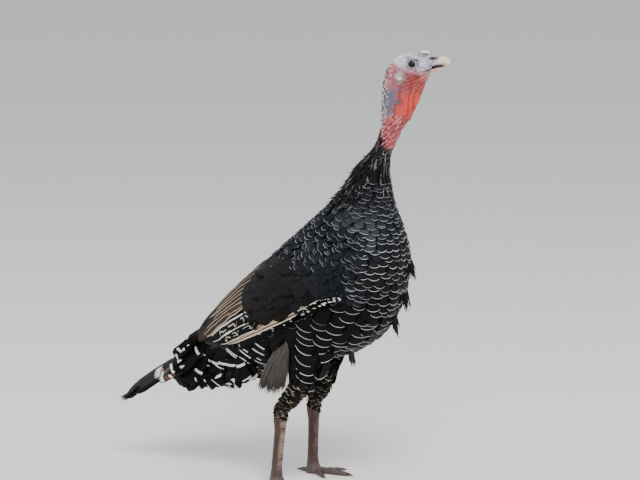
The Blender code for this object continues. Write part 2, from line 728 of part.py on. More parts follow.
TOE_SIDES = 8
TOE_FIRST = 0.0105  # where each toe starts, from the middle of the pad
TOE_ROOT = 0.0044  # radius where it starts
TOE_SINK = 0.86  # height of a toe's middle over its radius, which flattens its sole
TOE_TAPER = 0.26
SIDE_TOE_SHARE = 0.82  # radius of the other toes beside the middle one's
JOINT_SHARE = 0.86  # radius between two pads beside that of a pad
CLAW_SIDES = 6
CLAW_STATIONS = (0.0, 0.35, 0.7, 1.0)
CLAW_WAIST = 0.80  # radius of a claw's root beside its toe's
CLAW_TAPER = 0.86
CLAW_DROP = 0.75
CLAW_FLOOR = 0.0006  # how near the claws come to the floor


def toe_ring(start, heading, reach, radius):
    """A round section of a toe, flat where it meets the floor."""
    across = Vector((-heading.y, heading.x, 0))
    ring = []
    for i in range(TOE_SIDES):
        angle = 2 * math.pi * (i + 0.5) / TOE_SIDES
        point = start + heading * reach + across * math.cos(angle) * radius
        point.z = max(0.0, radius * TOE_SINK + math.sin(angle) * radius)
        ring.append(point)
    return ring


def build_foot(label, shank_cutter):
    """The four toes, padded between their joints, each with its claw."""
    outward = -1 if label == "right" else 1
    start = place(outward * ANKLE_SPREAD, ANKLES[label] + PAD_FORWARD, 0)
    for toe, angle in TOE_ANGLES.items():
        turn = math.radians(angle) * (1 if toe == "hind" else outward)
        heading = Vector((math.sin(turn), -math.cos(turn), 0))
        length = TOE_LENGTHS[toe]
        thick = TOE_RADIUS * (1.0 if toe == "middle" else SIDE_TOE_SHARE)
        steps = 4 if toe == "hind" else 6
        rings = [toe_ring(start, heading, TOE_FIRST, TOE_ROOT)]
        for i in range(1, steps + 1):
            along = i / steps
            radius = thick * (1.0 if i % 2 else JOINT_SHARE) * (1 - TOE_TAPER * along)
            rings.append(toe_ring(start, heading, TOE_FIRST + (length - TOE_FIRST) * along, radius))
        bake(cut_by(add_object(loft(rings), f"toe_{toe}_{label}", TURKEY, "leg_scale"), shank_cutter))
        build_claw(f"claw_{toe}_{label}", start, heading, length, CLAW_LENGTHS[toe], radius)


def build_claw(name, start, heading, reach, length, root):
    """A blunt claw that curves forward and down off the end of its toe."""
    rings = []
    across = Vector((-heading.y, heading.x, 0))
    for along in CLAW_STATIONS:
        radius = root * CLAW_WAIST * (1 - CLAW_TAPER * along**1.3)
        centre = start + heading * (reach + GAP + length * along)
        middle = root * (0.95 - CLAW_DROP * along**2)
        ring = []
        for i in range(CLAW_SIDES):
            angle = 2 * math.pi * (i + 0.5) / CLAW_SIDES
            up = max(CLAW_FLOOR, middle + math.sin(angle) * radius)
            ring.append(centre + across * math.cos(angle) * radius * 0.8 + Vector((0, 0, up)))
        rings.append(ring)
    add_object(loft(rings), name, TURKEY, "claw_horn")


# ---- the bird -----------------------------------------------------------------------------------
def build_turkey():
    whole = build_body()
    body_cutter = swollen(whole, "body_cutter")
    build_eyes()
    bill_cutter = build_bill()
    build_snood(body_cutter)
    build_ears(body_cutter)
    build_dewlap([body_cutter, bill_cutter])
    wing_cutters = build_wings(body_cutter)
    both_wings = wing_cutters["right"][:2] + wing_cutters["left"][:2]
    tail_cutters = build_tail([body_cutter, *both_wings])
    leg_cutters = []
    for label in ("right", "left"):
        leg_cutters.append(build_thigh(label, [body_cutter, *wing_cutters[label][:2]]))
        build_foot(label, build_shank(label))
    build_loose_feathers([body_cutter, *both_wings, *tail_cutters, *leg_cutters])


clear_scene()
MATERIALS = {name: make_material(name) for name in COLOURS}
TURKEY = make_collection("turkey")
CUTTERS = make_collection("turkey_cutters", helper=True)
build_turkey()
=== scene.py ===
"""The dressed turkey hen: one skin under a coat of vanes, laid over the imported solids.

Metres, +Z up, the bird faces -Y and its left side is at +X. Places on the bird are given as
(forward, up) in its plane of symmetry, measured from the floor between the ankles.
"""

import math

import bmesh
import bpy
import numpy as np
from mathutils import Matrix, Vector
from mathutils.bvhtree import BVHTree
from mathutils.kdtree import KDTree


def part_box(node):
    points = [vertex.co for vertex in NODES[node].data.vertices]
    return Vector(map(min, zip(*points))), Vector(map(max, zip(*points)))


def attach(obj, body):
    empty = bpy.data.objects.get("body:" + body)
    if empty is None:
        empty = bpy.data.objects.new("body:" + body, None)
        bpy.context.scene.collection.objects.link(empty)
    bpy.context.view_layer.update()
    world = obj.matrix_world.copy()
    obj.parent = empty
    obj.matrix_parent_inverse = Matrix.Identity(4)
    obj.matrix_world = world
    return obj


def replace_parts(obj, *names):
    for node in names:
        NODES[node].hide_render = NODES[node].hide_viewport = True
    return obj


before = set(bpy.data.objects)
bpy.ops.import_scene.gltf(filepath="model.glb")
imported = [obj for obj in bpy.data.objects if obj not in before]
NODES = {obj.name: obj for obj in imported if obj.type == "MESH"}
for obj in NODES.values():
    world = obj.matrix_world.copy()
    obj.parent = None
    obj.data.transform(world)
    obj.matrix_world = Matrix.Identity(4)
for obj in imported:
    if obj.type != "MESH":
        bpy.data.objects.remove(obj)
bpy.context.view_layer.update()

BOX_MIDDLE = -0.02627  # how far forward of the ankles the middle of the bird's box lies
SIDES = {"right": -1, "left": 1}
UP = np.array((0.0, 0.0, 1.0))
TOES = ("middle", "inner", "outer", "hind")
FLESH = ["head", "neck_upper", "neck_lower", "neck_feathered"]
LIMBS = [limb + label for limb in ("thigh_", "drumstick_") for label in SIDES]
BODY_NODES = ["neck_feathered", "breast", "trunk", "rump", *LIMBS]


# ---- small tools --------------------------------------------------------------------------------
def place(side, forward, up):
    return np.array((side, BOX_MIDDLE - forward, up), float)


def forward_of(points):
    return BOX_MIDDLE - points[:, 1]


def forward_up(points):
    return forward_of(points), points[:, 2]


def step(low, high, x):
    t = np.clip((x - low) / (high - low), 0, 1)
    return t * t * (3 - 2 * t)


def bell(x, middle, reach):
    return np.exp(-(((x - middle) / reach) ** 2))


def unit(v):
    return v / np.maximum(np.linalg.norm(v, axis=-1, keepdims=True), 1e-12)


def tone(red, green, blue):
    """A linear colour from its 0 to 255 display values."""
    c = np.array((red, green, blue)) / 255
    return np.where(c < 0.04045, c / 12.92, ((c + 0.055) / 1.055) ** 2.4)


def filled(points, *display):
    """One colour for all the points, from its 0 to 255 display values."""
    return np.tile(tone(*display), (len(points), 1))


def noise(points, size, seed):
    """Smooth value noise from -1 to 1."""
    q = points / size + seed * 7.31
    cell = np.floor(q).astype(np.int64)
    t = q - cell
    t = t * t * (3 - 2 * t)
    total = np.zeros(len(points))
    for corner in range(8):
        o = np.array([(corner >> k) & 1 for k in range(3)])
        c = cell + o
        h = (c[:, 0] * 73856093) ^ (c[:, 1] * 19349663) ^ (c[:, 2] * 83492791) ^ (seed * 2654435)
        h = ((h & 0xFFFFFF) * 1103515245 + 12345) & 0xFFFFFF
        total += np.prod(np.where(o, t, 1 - t), axis=1) * (h / 0xFFFFFF)
    return 2 * total - 1


def fractal(points, size, seed, octaves=3):
    return sum(noise(points, size / 2**k, seed + k) / 2**k for k in range(octaves))


def mixed(base, other, share):
    return base + (other - base) * share[:, None]


# ---- surfaces from the solids -------------------------------------------------------------------
def add_item(name, data):
    item = bpy.data.objects.new(name, data)
    bpy.context.scene.collection.objects.link(item)
    return item


def fused(names, voxel, rounds, balls=()):
    """One smooth surface over these nodes: its points, its faces and its normals."""
    made = bmesh.new()
    for name in names:
        made.from_mesh(NODES[name].data)
    for centre, radius in balls:
        bmesh.ops.create_uvsphere(
            made, u_segments=24, v_segments=16, radius=radius, matrix=Matrix.Translation(Vector(centre))
        )
    mesh = bpy.data.meshes.new("fused")
    made.to_mesh(mesh)
    made.free()
    item = add_item("fused", mesh)
    remesh = item.modifiers.new("remesh", "REMESH")
    remesh.mode = "VOXEL"
    remesh.voxel_size = voxel
    if rounds:
        smooth = item.modifiers.new("smooth", "SMOOTH")
        smooth.factor = 0.5
        smooth.iterations = rounds
    graph = bpy.context.evaluated_depsgraph_get()
    found = bpy.data.meshes.new_from_object(item.evaluated_get(graph))
    bpy.data.objects.remove(item)
    bpy.data.meshes.remove(mesh)
    points = np.empty(len(found.vertices) * 3)
    found.vertices.foreach_get("co", points)
    normals = np.empty(len(found.vertices) * 3)
    found.vertices.foreach_get("normal", normals)
    faces = np.empty(len(found.loops), np.int32)
    found.loops.foreach_get("vertex_index", faces)
    bpy.data.meshes.remove(found)
    return points.reshape(-1, 3), faces.reshape(-1, 4), normals.reshape(-1, 3)


SCATTER_OFFERS = 14  # random points offered for each that would fit
ROW_OFFERS = 90000  # and for all the rows of a coat
ROW_REACH = 0.08  # of the gap between rows, how far from its row a point may lie
NEIGHBOURS = [(x, y, z) for x in (-1, 0, 1) for y in (-1, 0, 1) for z in (-1, 0, 1)]


class Surface:
    """A surface that feathers lie on."""

    def __init__(self, names, voxel, rounds):
        self.points, self.faces, _ = fused(names, voxel, rounds)
        self.tree = BVHTree.FromPolygons(self.points.tolist(), self.faces.tolist())

    def nearest(self, targets):
        found = np.empty((len(targets), 3))
        normals = np.empty((len(targets), 3))
        for i, target in enumerate(targets.tolist()):
            hit = self.tree.find_nearest(target)
            found[i] = hit[0]
            normals[i] = hit[1]
        return found, normals

    def patches(self, allowed):
        """Area, middle, normal and corners of every face where allowed(points, normals)."""
        a, b, c, d = (self.points[self.faces[:, k]] for k in range(4))
        across = np.cross(c - a, d - b)
        area = np.linalg.norm(across, axis=1) / 2
        middle = (a + b + c + d) / 4
        normal = unit(across)
        keep = allowed(middle, normal)
        return area[keep], middle[keep], normal[keep], self.faces[keep]

    def inside(self, corners, rng):
        """A random point inside each of these quads."""
        u, v = rng.random((2, len(corners), 1))
        quad = self.points[corners]
        near = quad[:, 0] * (1 - u) + quad[:, 1] * u
        far = quad[:, 3] * (1 - u) + quad[:, 2] * u
        return near * (1 - v) + far * v

    def scattered(self, spacing, allowed, seed):
        """Points over the surface, no two nearer than spacing(points), where allowed(points, normals)."""
        rng = np.random.default_rng(seed)
        area, middle, normal, corners = self.patches(allowed)
        wanted = spacing(middle)
        share = area / wanted**2
        chosen = rng.choice(len(area), int(share.sum() * SCATTER_OFFERS), p=share / share.sum())
        points = self.inside(corners[chosen], rng)
        gaps = wanted[chosen]
        size = float(gaps.max())
        cells = {}
        kept = []
        for i, (p, gap) in enumerate(zip(points.tolist(), gaps.tolist())):
            key = (int(p[0] // size), int(p[1] // size), int(p[2] // size))
            around = (
                q
                for dx, dy, dz in NEIGHBOURS
                for q in cells.get((key[0] + dx, key[1] + dy, key[2] + dz), ())
            )
            if any((p[0] - q[0]) ** 2 + (p[1] - q[1]) ** 2 + (p[2] - q[2]) ** 2 < gap * gap for q in around):
                continue
            cells.setdefault(key, []).append(p)
            kept.append(i)
        return points[kept], normal[chosen[kept]]

    def in_rows(self, level, pitch, turn, allowed, seed):
        """Points on rows where level(points) is whole, pitch(points) apart in order of turn(points)."""
        rng = np.random.default_rng(seed)
        area, _, normal, corners = self.patches(allowed)
        chosen = rng.choice(len(area), ROW_OFFERS, p=area / area.sum())
        points = self.inside(corners[chosen], rng)
        rows = level(points)
        near = np.abs(rows - np.round(rows)) < ROW_REACH
        points, chosen, rows = points[near], chosen[near], np.round(rows[near])
        apart, order = pitch(points), turn(points)
        kept = []
        for row in np.unique(rows):
            mine = np.flatnonzero(rows == row)
            mine = mine[np.argsort(order[mine])]
            last, wanted = points[mine[0]], 0.5 * (row % 2)
            for i in mine:
                if np.linalg.norm(points[i] - last) >= wanted * apart[i]:
                    kept.append(i)
                    last, wanted = points[i], rng.uniform(0.78, 1.22)
        return points[kept], normal[chosen[kept]]


# ---- the unwrap that skin and coat share --------------------------------------------------------
# The middle line of the body from the bill to the tail, as (forward, up).
SPINE = np.array(
    ((0.262, 0.655), (0.205, 0.650), (0.172, 0.612), (0.163, 0.560), (0.140, 0.505), (0.105, 0.430))
    + ((0.055, 0.320), (-0.030, 0.250), (-0.110, 0.205), (-0.200, 0.165), (-0.320, 0.095))
)
LEG_TOP = 0.190
LEG_SIDE = 0.030  # from the middle of the bird to where a leg's own chart begins
LEG_OUT = 0.055  # to the middle of a leg
# How far forward the middle of each leg is at these heights, from the sole through the hock to the thigh.
LEG_HEIGHTS = (0.0, 0.116, 0.128, 0.159, 0.190)
RIGHT_LEG = (-0.006, 0.005, 0.0120, 0.0365, 0.0500)
LEFT_LEG = (0.0005, 0.0032, 0.0085, 0.0200, 0.0300)


def leg_forward(points, lower=0.0):
    """How far forward the middle of the leg is at each point, or this much lower."""
    up = points[:, 2] - lower
    left, right = (np.interp(up, LEG_HEIGHTS, leg) for leg in (LEFT_LEG, RIGHT_LEG))
    return np.where(points[:, 0] > 0, left, right)


def spine_place(points):
    """How far along the spine each point lies, from 0 to 1, and its angle round it from the back."""
    fz = np.stack(forward_up(points), axis=1)
    best = np.full(len(points), 1e9)
    along = np.zeros(len(points))
    lift = np.zeros(len(points))
    lengths = np.linalg.norm(np.diff(SPINE, axis=0), axis=1)
    starts = np.concatenate(((0,), np.cumsum(lengths)))
    for k, (a, b) in enumerate(zip(SPINE, SPINE[1:])):
        line = (b - a) / lengths[k]
        t = np.clip((fz - a) @ line, 0, lengths[k])
        off = fz - (a + t[:, None] * line)
        away = np.linalg.norm(off, axis=1)
        closer = away < best
        best = np.where(closer, away, best)
        along = np.where(closer, starts[k] + t, along)
        lift = np.where(closer, off @ np.array((-line[1], line[0])) * -1, lift)
    return along / starts[-1], np.arctan2(np.abs(points[:, 0]), lift)


def unwrap(points, guide):
    """Where each point lies on the unwrap, its chart chosen by the guide point."""
    along, turn = spine_place(points)
    left = guide[:, 0] > 0
    share = np.clip(turn / math.pi, 0, 1) * 0.46
    body = np.stack((np.where(left, 0.02 + share, 0.98 - share), 0.24 + 0.74 * along), axis=1)
    side = np.where(left, LEG_OUT, -LEG_OUT)
    forward = forward_of(points)
    round_leg = np.arctan2(points[:, 0] - side, forward - leg_forward(points)) / math.pi
    guide_turn = np.arctan2(guide[:, 0] - side, forward_of(guide) - leg_forward(guide)) / math.pi
    round_leg = round_leg + 2 * np.round((guide_turn - round_leg) / 2)
    leg_across = np.where(left, 0.14, 0.64) + 0.055 * (1 + round_leg) * 2
    leg = np.stack((leg_across, 0.02 + 0.2 * points[:, 2] / LEG_TOP), axis=1)
    foot_across = np.where(left, 0.07, 0.57) + (points[:, 0] - side) * 0.9
    foot = np.stack((foot_across, 0.11 + (forward - 0.02) * 0.9), axis=1)
    on_leg = (guide[:, 2] < LEG_TOP) & (np.abs(guide[:, 0]) > LEG_SIDE) & (forward_of(guide) > -0.035)
    on_foot = on_leg & (guide[:, 2] < 0.014)
    return np.where(on_foot[:, None], foot, np.where(on_leg[:, None], leg, body))


def face_unwrap(points, faces):
    """Where each corner of each quad lies on the unwrap, its chart chosen by the middle of the quad."""
    guide = np.repeat(points[faces].mean(axis=1), 4, axis=0)
    return unwrap(points[faces].reshape(-1, 3), guide)


# ---- meshes and materials -----------------------------------------------------------------------
def make_piece(name, points, faces, paint, material, corner_uv=None, own_uv=None):
    """A piece that rides the bird, of quads. paint is a colour a point."""
    mesh = bpy.data.meshes.new(name)
    mesh.vertices.add(len(points))
    mesh.vertices.foreach_set("co", points.astype(np.float32).ravel())
    mesh.loops.add(faces.size)
    mesh.loops.foreach_set("vertex_index", faces.astype(np.int32).ravel())
    mesh.polygons.add(len(faces))
    mesh.polygons.foreach_set("loop_start", np.arange(0, faces.size, 4, dtype=np.int32))
    mesh.polygons.foreach_set("use_smooth", np.ones(len(faces), bool))
    mesh.update(calc_edges=True)
    if corner_uv is None:
        corner_uv = face_unwrap(points, faces)
    for title, uv in (("OFBake", corner_uv), ("VaneUV", own_uv)):
        if uv is not None:
            layer = mesh.uv_layers.new(name=title)
            layer.data.foreach_set("uv", uv.astype(np.float32).ravel())
    colours = mesh.color_attributes.new("paint", "FLOAT_COLOR", "POINT")
    rgba = np.ones((len(points), 4), np.float32)
    rgba[:, :3] = np.clip(paint, 0, 1)
    colours.data.foreach_set("color", rgba.ravel())
    mesh.materials.append(material)
    item = add_item(name, mesh)
    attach(item, "root")
    return item


def grained(material, shader, scale, detail, low, high):
    """Scales the paint between low and high by a fine grain, and returns the grain."""
    grain = add_node(material, "ShaderNodeTexNoise", [("Scale", scale), ("Detail", detail)]).outputs[0]
    tinted(material, shader, grain, low, high)
    return grain


def worked(material, operation, *values):
    """The outcome of one step of arithmetic between nodes."""
    return add_node(material, "ShaderNodeMath", list(enumerate(values)), operation=operation).outputs[0]


def new_material(name, roughness, specular=0.5, sheen=0.0, subsurface=0.0):
    material = bpy.data.materials.new(name)
    material.use_nodes = True
    shader = material.node_tree.nodes["Principled BSDF"]
    shader.inputs["Roughness"].default_value = roughness
    shader.inputs["Specular IOR Level"].default_value = specular
    shader.inputs["Sheen Weight"].default_value = sheen
    shader.inputs["Subsurface Weight"].default_value = subsurface
    return material, shader


def add_node(material, kind, links=(), **settings):
    node = material.node_tree.nodes.new(kind)
    for key, value in settings.items():
        setattr(node, key, value)
    for socket, source in links:
        if isinstance(source, bpy.types.NodeSocket):
            material.node_tree.links.new(source, node.inputs[socket])
        else:
            node.inputs[socket].default_value = source
    return node


def painted(material):
    return add_node(material, "ShaderNodeAttribute", attribute_name="paint").outputs["Color"]


def tinted(material, shader, factor, low, high):
    """Links the paint, scaled between low and high by the factor, to the base colour."""
    colour = painted(material)
    span = add_node(
        material, "ShaderNodeMapRange", [("Value", factor), ("To Min", low), ("To Max", high)]
    ).outputs["Result"]
    scaled = add_node(material, "ShaderNodeVectorMath", [(0, colour), ("Scale", span)], operation="SCALE")
    material.node_tree.links.new(scaled.outputs["Vector"], shader.inputs["Base Color"])


def bumped(material, shader, height, strength, distance):
    bump = add_node(
        material, "ShaderNodeBump", [("Height", height), ("Strength", strength), ("Distance", distance)]
    )
    material.node_tree.links.new(bump.outputs["Normal"], shader.inputs["Normal"])


def skin_material():
    material, shader = new_material("skin_paint", 0.5, 0.4, subsurface=0.05)
    shader.inputs["Subsurface Radius"].default_value = (0.004, 0.0016, 0.001)
    grained(material, shader, 900.0, 3.0, 0.82, 1.18)
    pores = add_node(material, "ShaderNodeTexVoronoi", [("Scale", 1100.0)]).outputs["Distance"]
    bumped(material, shader, pores, 0.35, 0.0004)
    return material


MAP_LENGTH = 0.040  # of vane to one unit of its own map
BARBS = 310.0  # radians of their wave to one unit
BARB_SLANT = -0.55
SHAFT_HALF = 0.035  # of the width of a vane


def vane_material(name, roughness, specular, barb_depth, sheen=0.0):
    """Barbs run out from the shaft of each vane, at a slant, and are drawn on the vane's own map."""
    material, shader = new_material(name, roughness, specular, sheen)
    uv = add_node(material, "ShaderNodeUVMap", uv_map="VaneUV").outputs["UV"]
    parts = add_node(material, "ShaderNodeSeparateXYZ", [(0, uv)])
    off = worked(material, "SUBTRACT", parts.outputs["X"], 0.5)
    away = worked(material, "ABSOLUTE", off)
    slant = worked(material, "MULTIPLY_ADD", away, BARB_SLANT, parts.outputs["Y"])
    wave = worked(material, "SINE", worked(material, "MULTIPLY", slant, BARBS))
    ridge = [("Value", away), ("From Max", SHAFT_HALF), ("To Min", 1.0), ("To Max", 0.0)]
    shaft = add_node(material, "ShaderNodeMapRange", ridge).outputs["Result"]
    height = worked(material, "MULTIPLY_ADD", shaft, 2.5, wave)
    patches = [("Vector", uv), ("Scale", 9.0), ("Detail", 2.0)]
    patchy = add_node(material, "ShaderNodeTexNoise", patches).outputs[0]
    level = worked(material, "MULTIPLY_ADD", wave, 0.12, patchy)
    tinted(material, shader, level, 1 - barb_depth, 1 + barb_depth)
    bumped(material, shader, height, 0.25, 0.0002)
    return material


# ---- the skin -----------------------------------------------------------------------------------
BACK_LINE = (
    (0.517, 0.5235, 0.555, 0.583, 0.609, 0.629, 0.6465),
    (0.130, 0.133, 0.1465, 0.147, 0.1475, 0.150, 0.156),
)
THROAT_LINE = (
    (0.517, 0.542, 0.556, 0.569, 0.588, 0.608, 0.638),
    (0.160, 0.171, 0.1815, 0.193, 0.2035, 0.213, 0.2255),
)


def neck_across(forward, up):
    """Where a place on the neck lies, from the nape, 0, to the throat, 1."""
    rear = np.interp(up, *BACK_LINE)
    front = np.interp(up, *THROAT_LINE)
    return (forward - rear) / (front - rear)
EYE_TILT = math.radians(-12)
EYES = {label: np.array(sum(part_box("eye_" + label), Vector())) / 2 for label in SIDES}
EYE_BALL = 0.0063
EYE_SOCKET = 0.0062  # of the ball of skin that the lids are cut from
PUPIL_REACH, IRIS_REACH = 27, 58  # degrees of the ball, from its outer pole
LID_LONG, LID_TALL = 0.0053, 0.0048
FACE_REACH, OTHER_SIDE = 8, 9.0  # in reaches of the lids: the part shaped by one eye, and none of it
EAR_AT = (0.1835, 0.6335)
SNOOD = ((0.2165, 0.6704), (0.0042, 0.0076, 0.0033))


def lid_distance(points, label):
    """1 on the rim of the eyelids, less inside it, and the places along and across the eye."""
    eye = EYES[label]
    forward = forward_of(points) - (BOX_MIDDLE - eye[1])
    up = points[:, 2] - eye[2]
    along = forward * math.cos(EYE_TILT) + up * math.sin(EYE_TILT)
    across = -forward * math.sin(EYE_TILT) + up * math.cos(EYE_TILT)
    reach = np.sqrt((along / LID_LONG) ** 2 + (across / LID_TALL) ** 2)
    return np.where(points[:, 0] * SIDES[label] > 0.002, reach, OTHER_SIDE), along, across


def brow_line(along, over):
    """1 along the fold over the eye, 0 away from it."""
    brow = np.hypot((along - 0.0022) / 0.0075, (over - 0.0072 - 0.05 * along) / 0.0011)
    return np.exp(-(brow**2))


def knobs(points, centres, radii):
    """A rounded bump over each centre, from 0 to 1."""
    tree = KDTree(len(centres))
    for i, centre in enumerate(centres.tolist()):
        tree.insert(centre, i)
    tree.balance()
    height = np.zeros(len(points))
    for i, point in enumerate(points.tolist()):
        _, j, away = tree.find(point)
        height[i] = max(0.0, 1 - (away / radii[j]) ** 2)
    return np.sqrt(height)


def creases(points, size, seed):
    """1 along wandering lines, 0 away from them."""
    return np.clip(1 - 3.2 * np.abs(fractal(points, size, seed, 2)), 0, 1)


def head_masks(points):
    forward, up = forward_up(points)
    neck = 1 - step(0.612, 0.640, up + 0.35 * (forward - 0.18))
    return forward, up, neck_across(forward, up), neck


def collar_height(across):
    """Where the feathers of the neck begin: higher at the nape than at the throat."""
    return 0.516 + 0.036 * np.clip(1 - across, 0, 1)


def nostril(points):
    """1 inside the long slit ahead of the eye, over the root of the bill."""
    forward, up = forward_up(points)
    reach = np.hypot((forward - 0.2330) / 0.0066, (up - 0.6632 - 0.10 * (forward - 0.2330)) / 0.0026)
    return np.exp(-(reach**4)) * (np.abs(points[:, 0]) > 0.002)


def gape_line(forward, up):
    """1 along the corner of the mouth, 0 away from it."""
    along = forward - 0.2235
    return np.exp(-((along / 0.0080) ** 2) - ((up - 0.6438 - 0.30 * along) / 0.0011) ** 2)


def ring_faces(rows, cols):
    """Quads between rows of points, each row a closed ring."""
    return [
        (i * cols + j, i * cols + (j + 1) % cols, (i + 1) * cols + (j + 1) % cols, (i + 1) * cols + j)
        for i in range(rows - 1)
        for j in range(cols)
    ]


def foot_nodes(label):
    return ["shank_" + label] + [f"toe_{toe}_{label}" for toe in TOES]


def nape_beads(rng, tree):
    """Rows of warty beads round the back half of the neck, the largest along its middle."""
    beads, radii = [], []
    for row, up in enumerate(np.arange(0.526, 0.655, 0.0034)):
        middle = (np.interp(up, *BACK_LINE) + np.interp(up, *THROAT_LINE)) / 2
        for column in range(-5, 6):
            turn = math.radians(15 * column + 7.5 * (row % 2) + rng.normal(0, 3.8))
            if abs(turn) > math.radians(np.interp(up, (0.550, 0.566, 0.605, 0.650), (78, 60, 60, 40))):
                continue
            away = np.array((math.sin(turn), math.cos(turn), 0.0))
            start = place(0, middle, up + rng.normal(0, 0.0009)) + away * 0.06
            hit = tree.ray_cast(Vector(start), Vector(-away))[0]
            if hit is not None:
                beads.append(hit)
                radii.append(rng.uniform(0.0016, 0.0031) * (1 - 0.22 * abs(turn)))
    return np.array(beads), np.array(radii)


def shape_head(points, faces, normals):
    """Lids, creases, caruncles and wrinkles. Returns the moved points, the beads and the painted shade of the
    creases.
    """
    forward, up, across, neck = head_masks(points)
    face = 1 - neck
    move = np.zeros(len(points))
    for label in SIDES:
        reach, along, over = lid_distance(points, label)
        near = bell(reach, 1.0, 2.3)
        move -= 0.0036 * (1 - step(0.84, 1.05, reach))
        move += 0.0010 * bell(reach, 1.17, 0.12)
        move -= 0.0009 * bell(reach, 1.42, 0.09)
        move += 0.0006 * bell(reach, 1.66, 0.13)
        move -= 0.0006 * bell(reach, 1.92, 0.08)
        rings = np.sin(2 * math.pi * (reach * 2.4 + 0.30 * noise(points, 0.004, 77)))
        move += 0.00025 * rings * near * (reach > 2.0)
        move -= 0.0009 * brow_line(along, over) * (reach < FACE_REACH)
        move += 0.0008 * bell(over, 0.0096, 0.0016) * bell(along, 0.001, 0.009) * (reach < FACE_REACH)
    ear = np.hypot(forward - EAR_AT[0], up - EAR_AT[1]) * (1 + 0.22 * noise(points, 0.004, 13))
    move += 0.0011 * bell(ear, 0.0056, 0.0018) - 0.0009 * bell(ear, 0.0, 0.0026)
    move += 0.0007 * noise(points, 0.0022, 17) * bell(ear, 0.0, 0.0085)
    move -= 0.0009 * nostril(points)
    move += 0.0020 * bell(forward, 0.187, 0.022) * step(0.652, 0.662, up)
    rng = np.random.default_rng(5)
    beads, radii = nape_beads(rng, BVHTree.FromPolygons(points.tolist(), faces.tolist()))
    nape = knobs(points, beads, radii) * (1 - step(0.36, 0.52, across)) * step(0.518, 0.53, up)
    move += (0.0014 + 0.0005 * noise(points, 0.005, 19)) * nape
    seeds = points[rng.choice(len(points), 1500, replace=False)]
    seeds = seeds[(seeds[:, 2] < 0.580) & (seeds[:, 2] > 0.515)]
    low = 1 - step(0.566, 0.588, up)
    warts = knobs(points, seeds, rng.uniform(0.0015, 0.0028, len(seeds)))
    warts = warts * low * step(0.20, 0.34, across) * (1 - 0.6 * step(0.75, 0.95, across))
    move += 0.0008 * warts
    folds = np.sin(2 * math.pi * (across * 5.0 + 0.45 * fractal(points, 0.016, 11)))
    throat = step(0.34, 0.50, across) * neck * step(0.535, 0.555, up)
    move += 0.0006 * folds * throat
    ridge = np.sin(2 * math.pi * ((up - 0.9 * forward) / 0.0070 + 0.5 * fractal(points, 0.016, 21)))
    move += 0.0007 * ridge * low * step(0.22, 0.40, across)
    chin = np.sin(2 * math.pi * ((up - 0.5 * forward) / 0.0052 + 0.45 * fractal(points, 0.012, 23)))
    under = bell(up, 0.626, 0.013) * step(0.40, 0.62, across)
    move += 0.0006 * chin * under
    wrinkle = creases(points * np.array((1, 1, 1.6)), 0.0060, 31)
    fine = creases(points, 0.0026, 37)
    move -= (0.00065 * wrinkle + 0.00028 * fine) * (0.25 + 0.75 * face)
    move += 0.00030 * fractal(points, 0.006, 41)
    gape = gape_line(forward, up)
    move -= 0.0018 * gape
    jowl = np.hypot((forward - 0.2125) / 0.0085, (up - 0.6375) / 0.0030)
    move += 0.0011 * np.exp(-(jowl**2))
    # painted shade: how much each point is darkened for lying in a crease, a wrinkle or a fold of the throat
    crease_shade = np.clip(wrinkle + 0.5 * fine, 0, 1) * (0.15 + 0.85 * face)
    crease_shade += 0.7 * np.clip(-folds, 0, 1) * throat + 0.8 * np.clip(-chin, 0, 1) * under
    crease_shade += 0.8 * np.clip(-ridge, 0, 1) * low * step(0.22, 0.40, across)
    return points + normals * move[:, None], (nape, warts, np.clip(crease_shade, 0, 1))


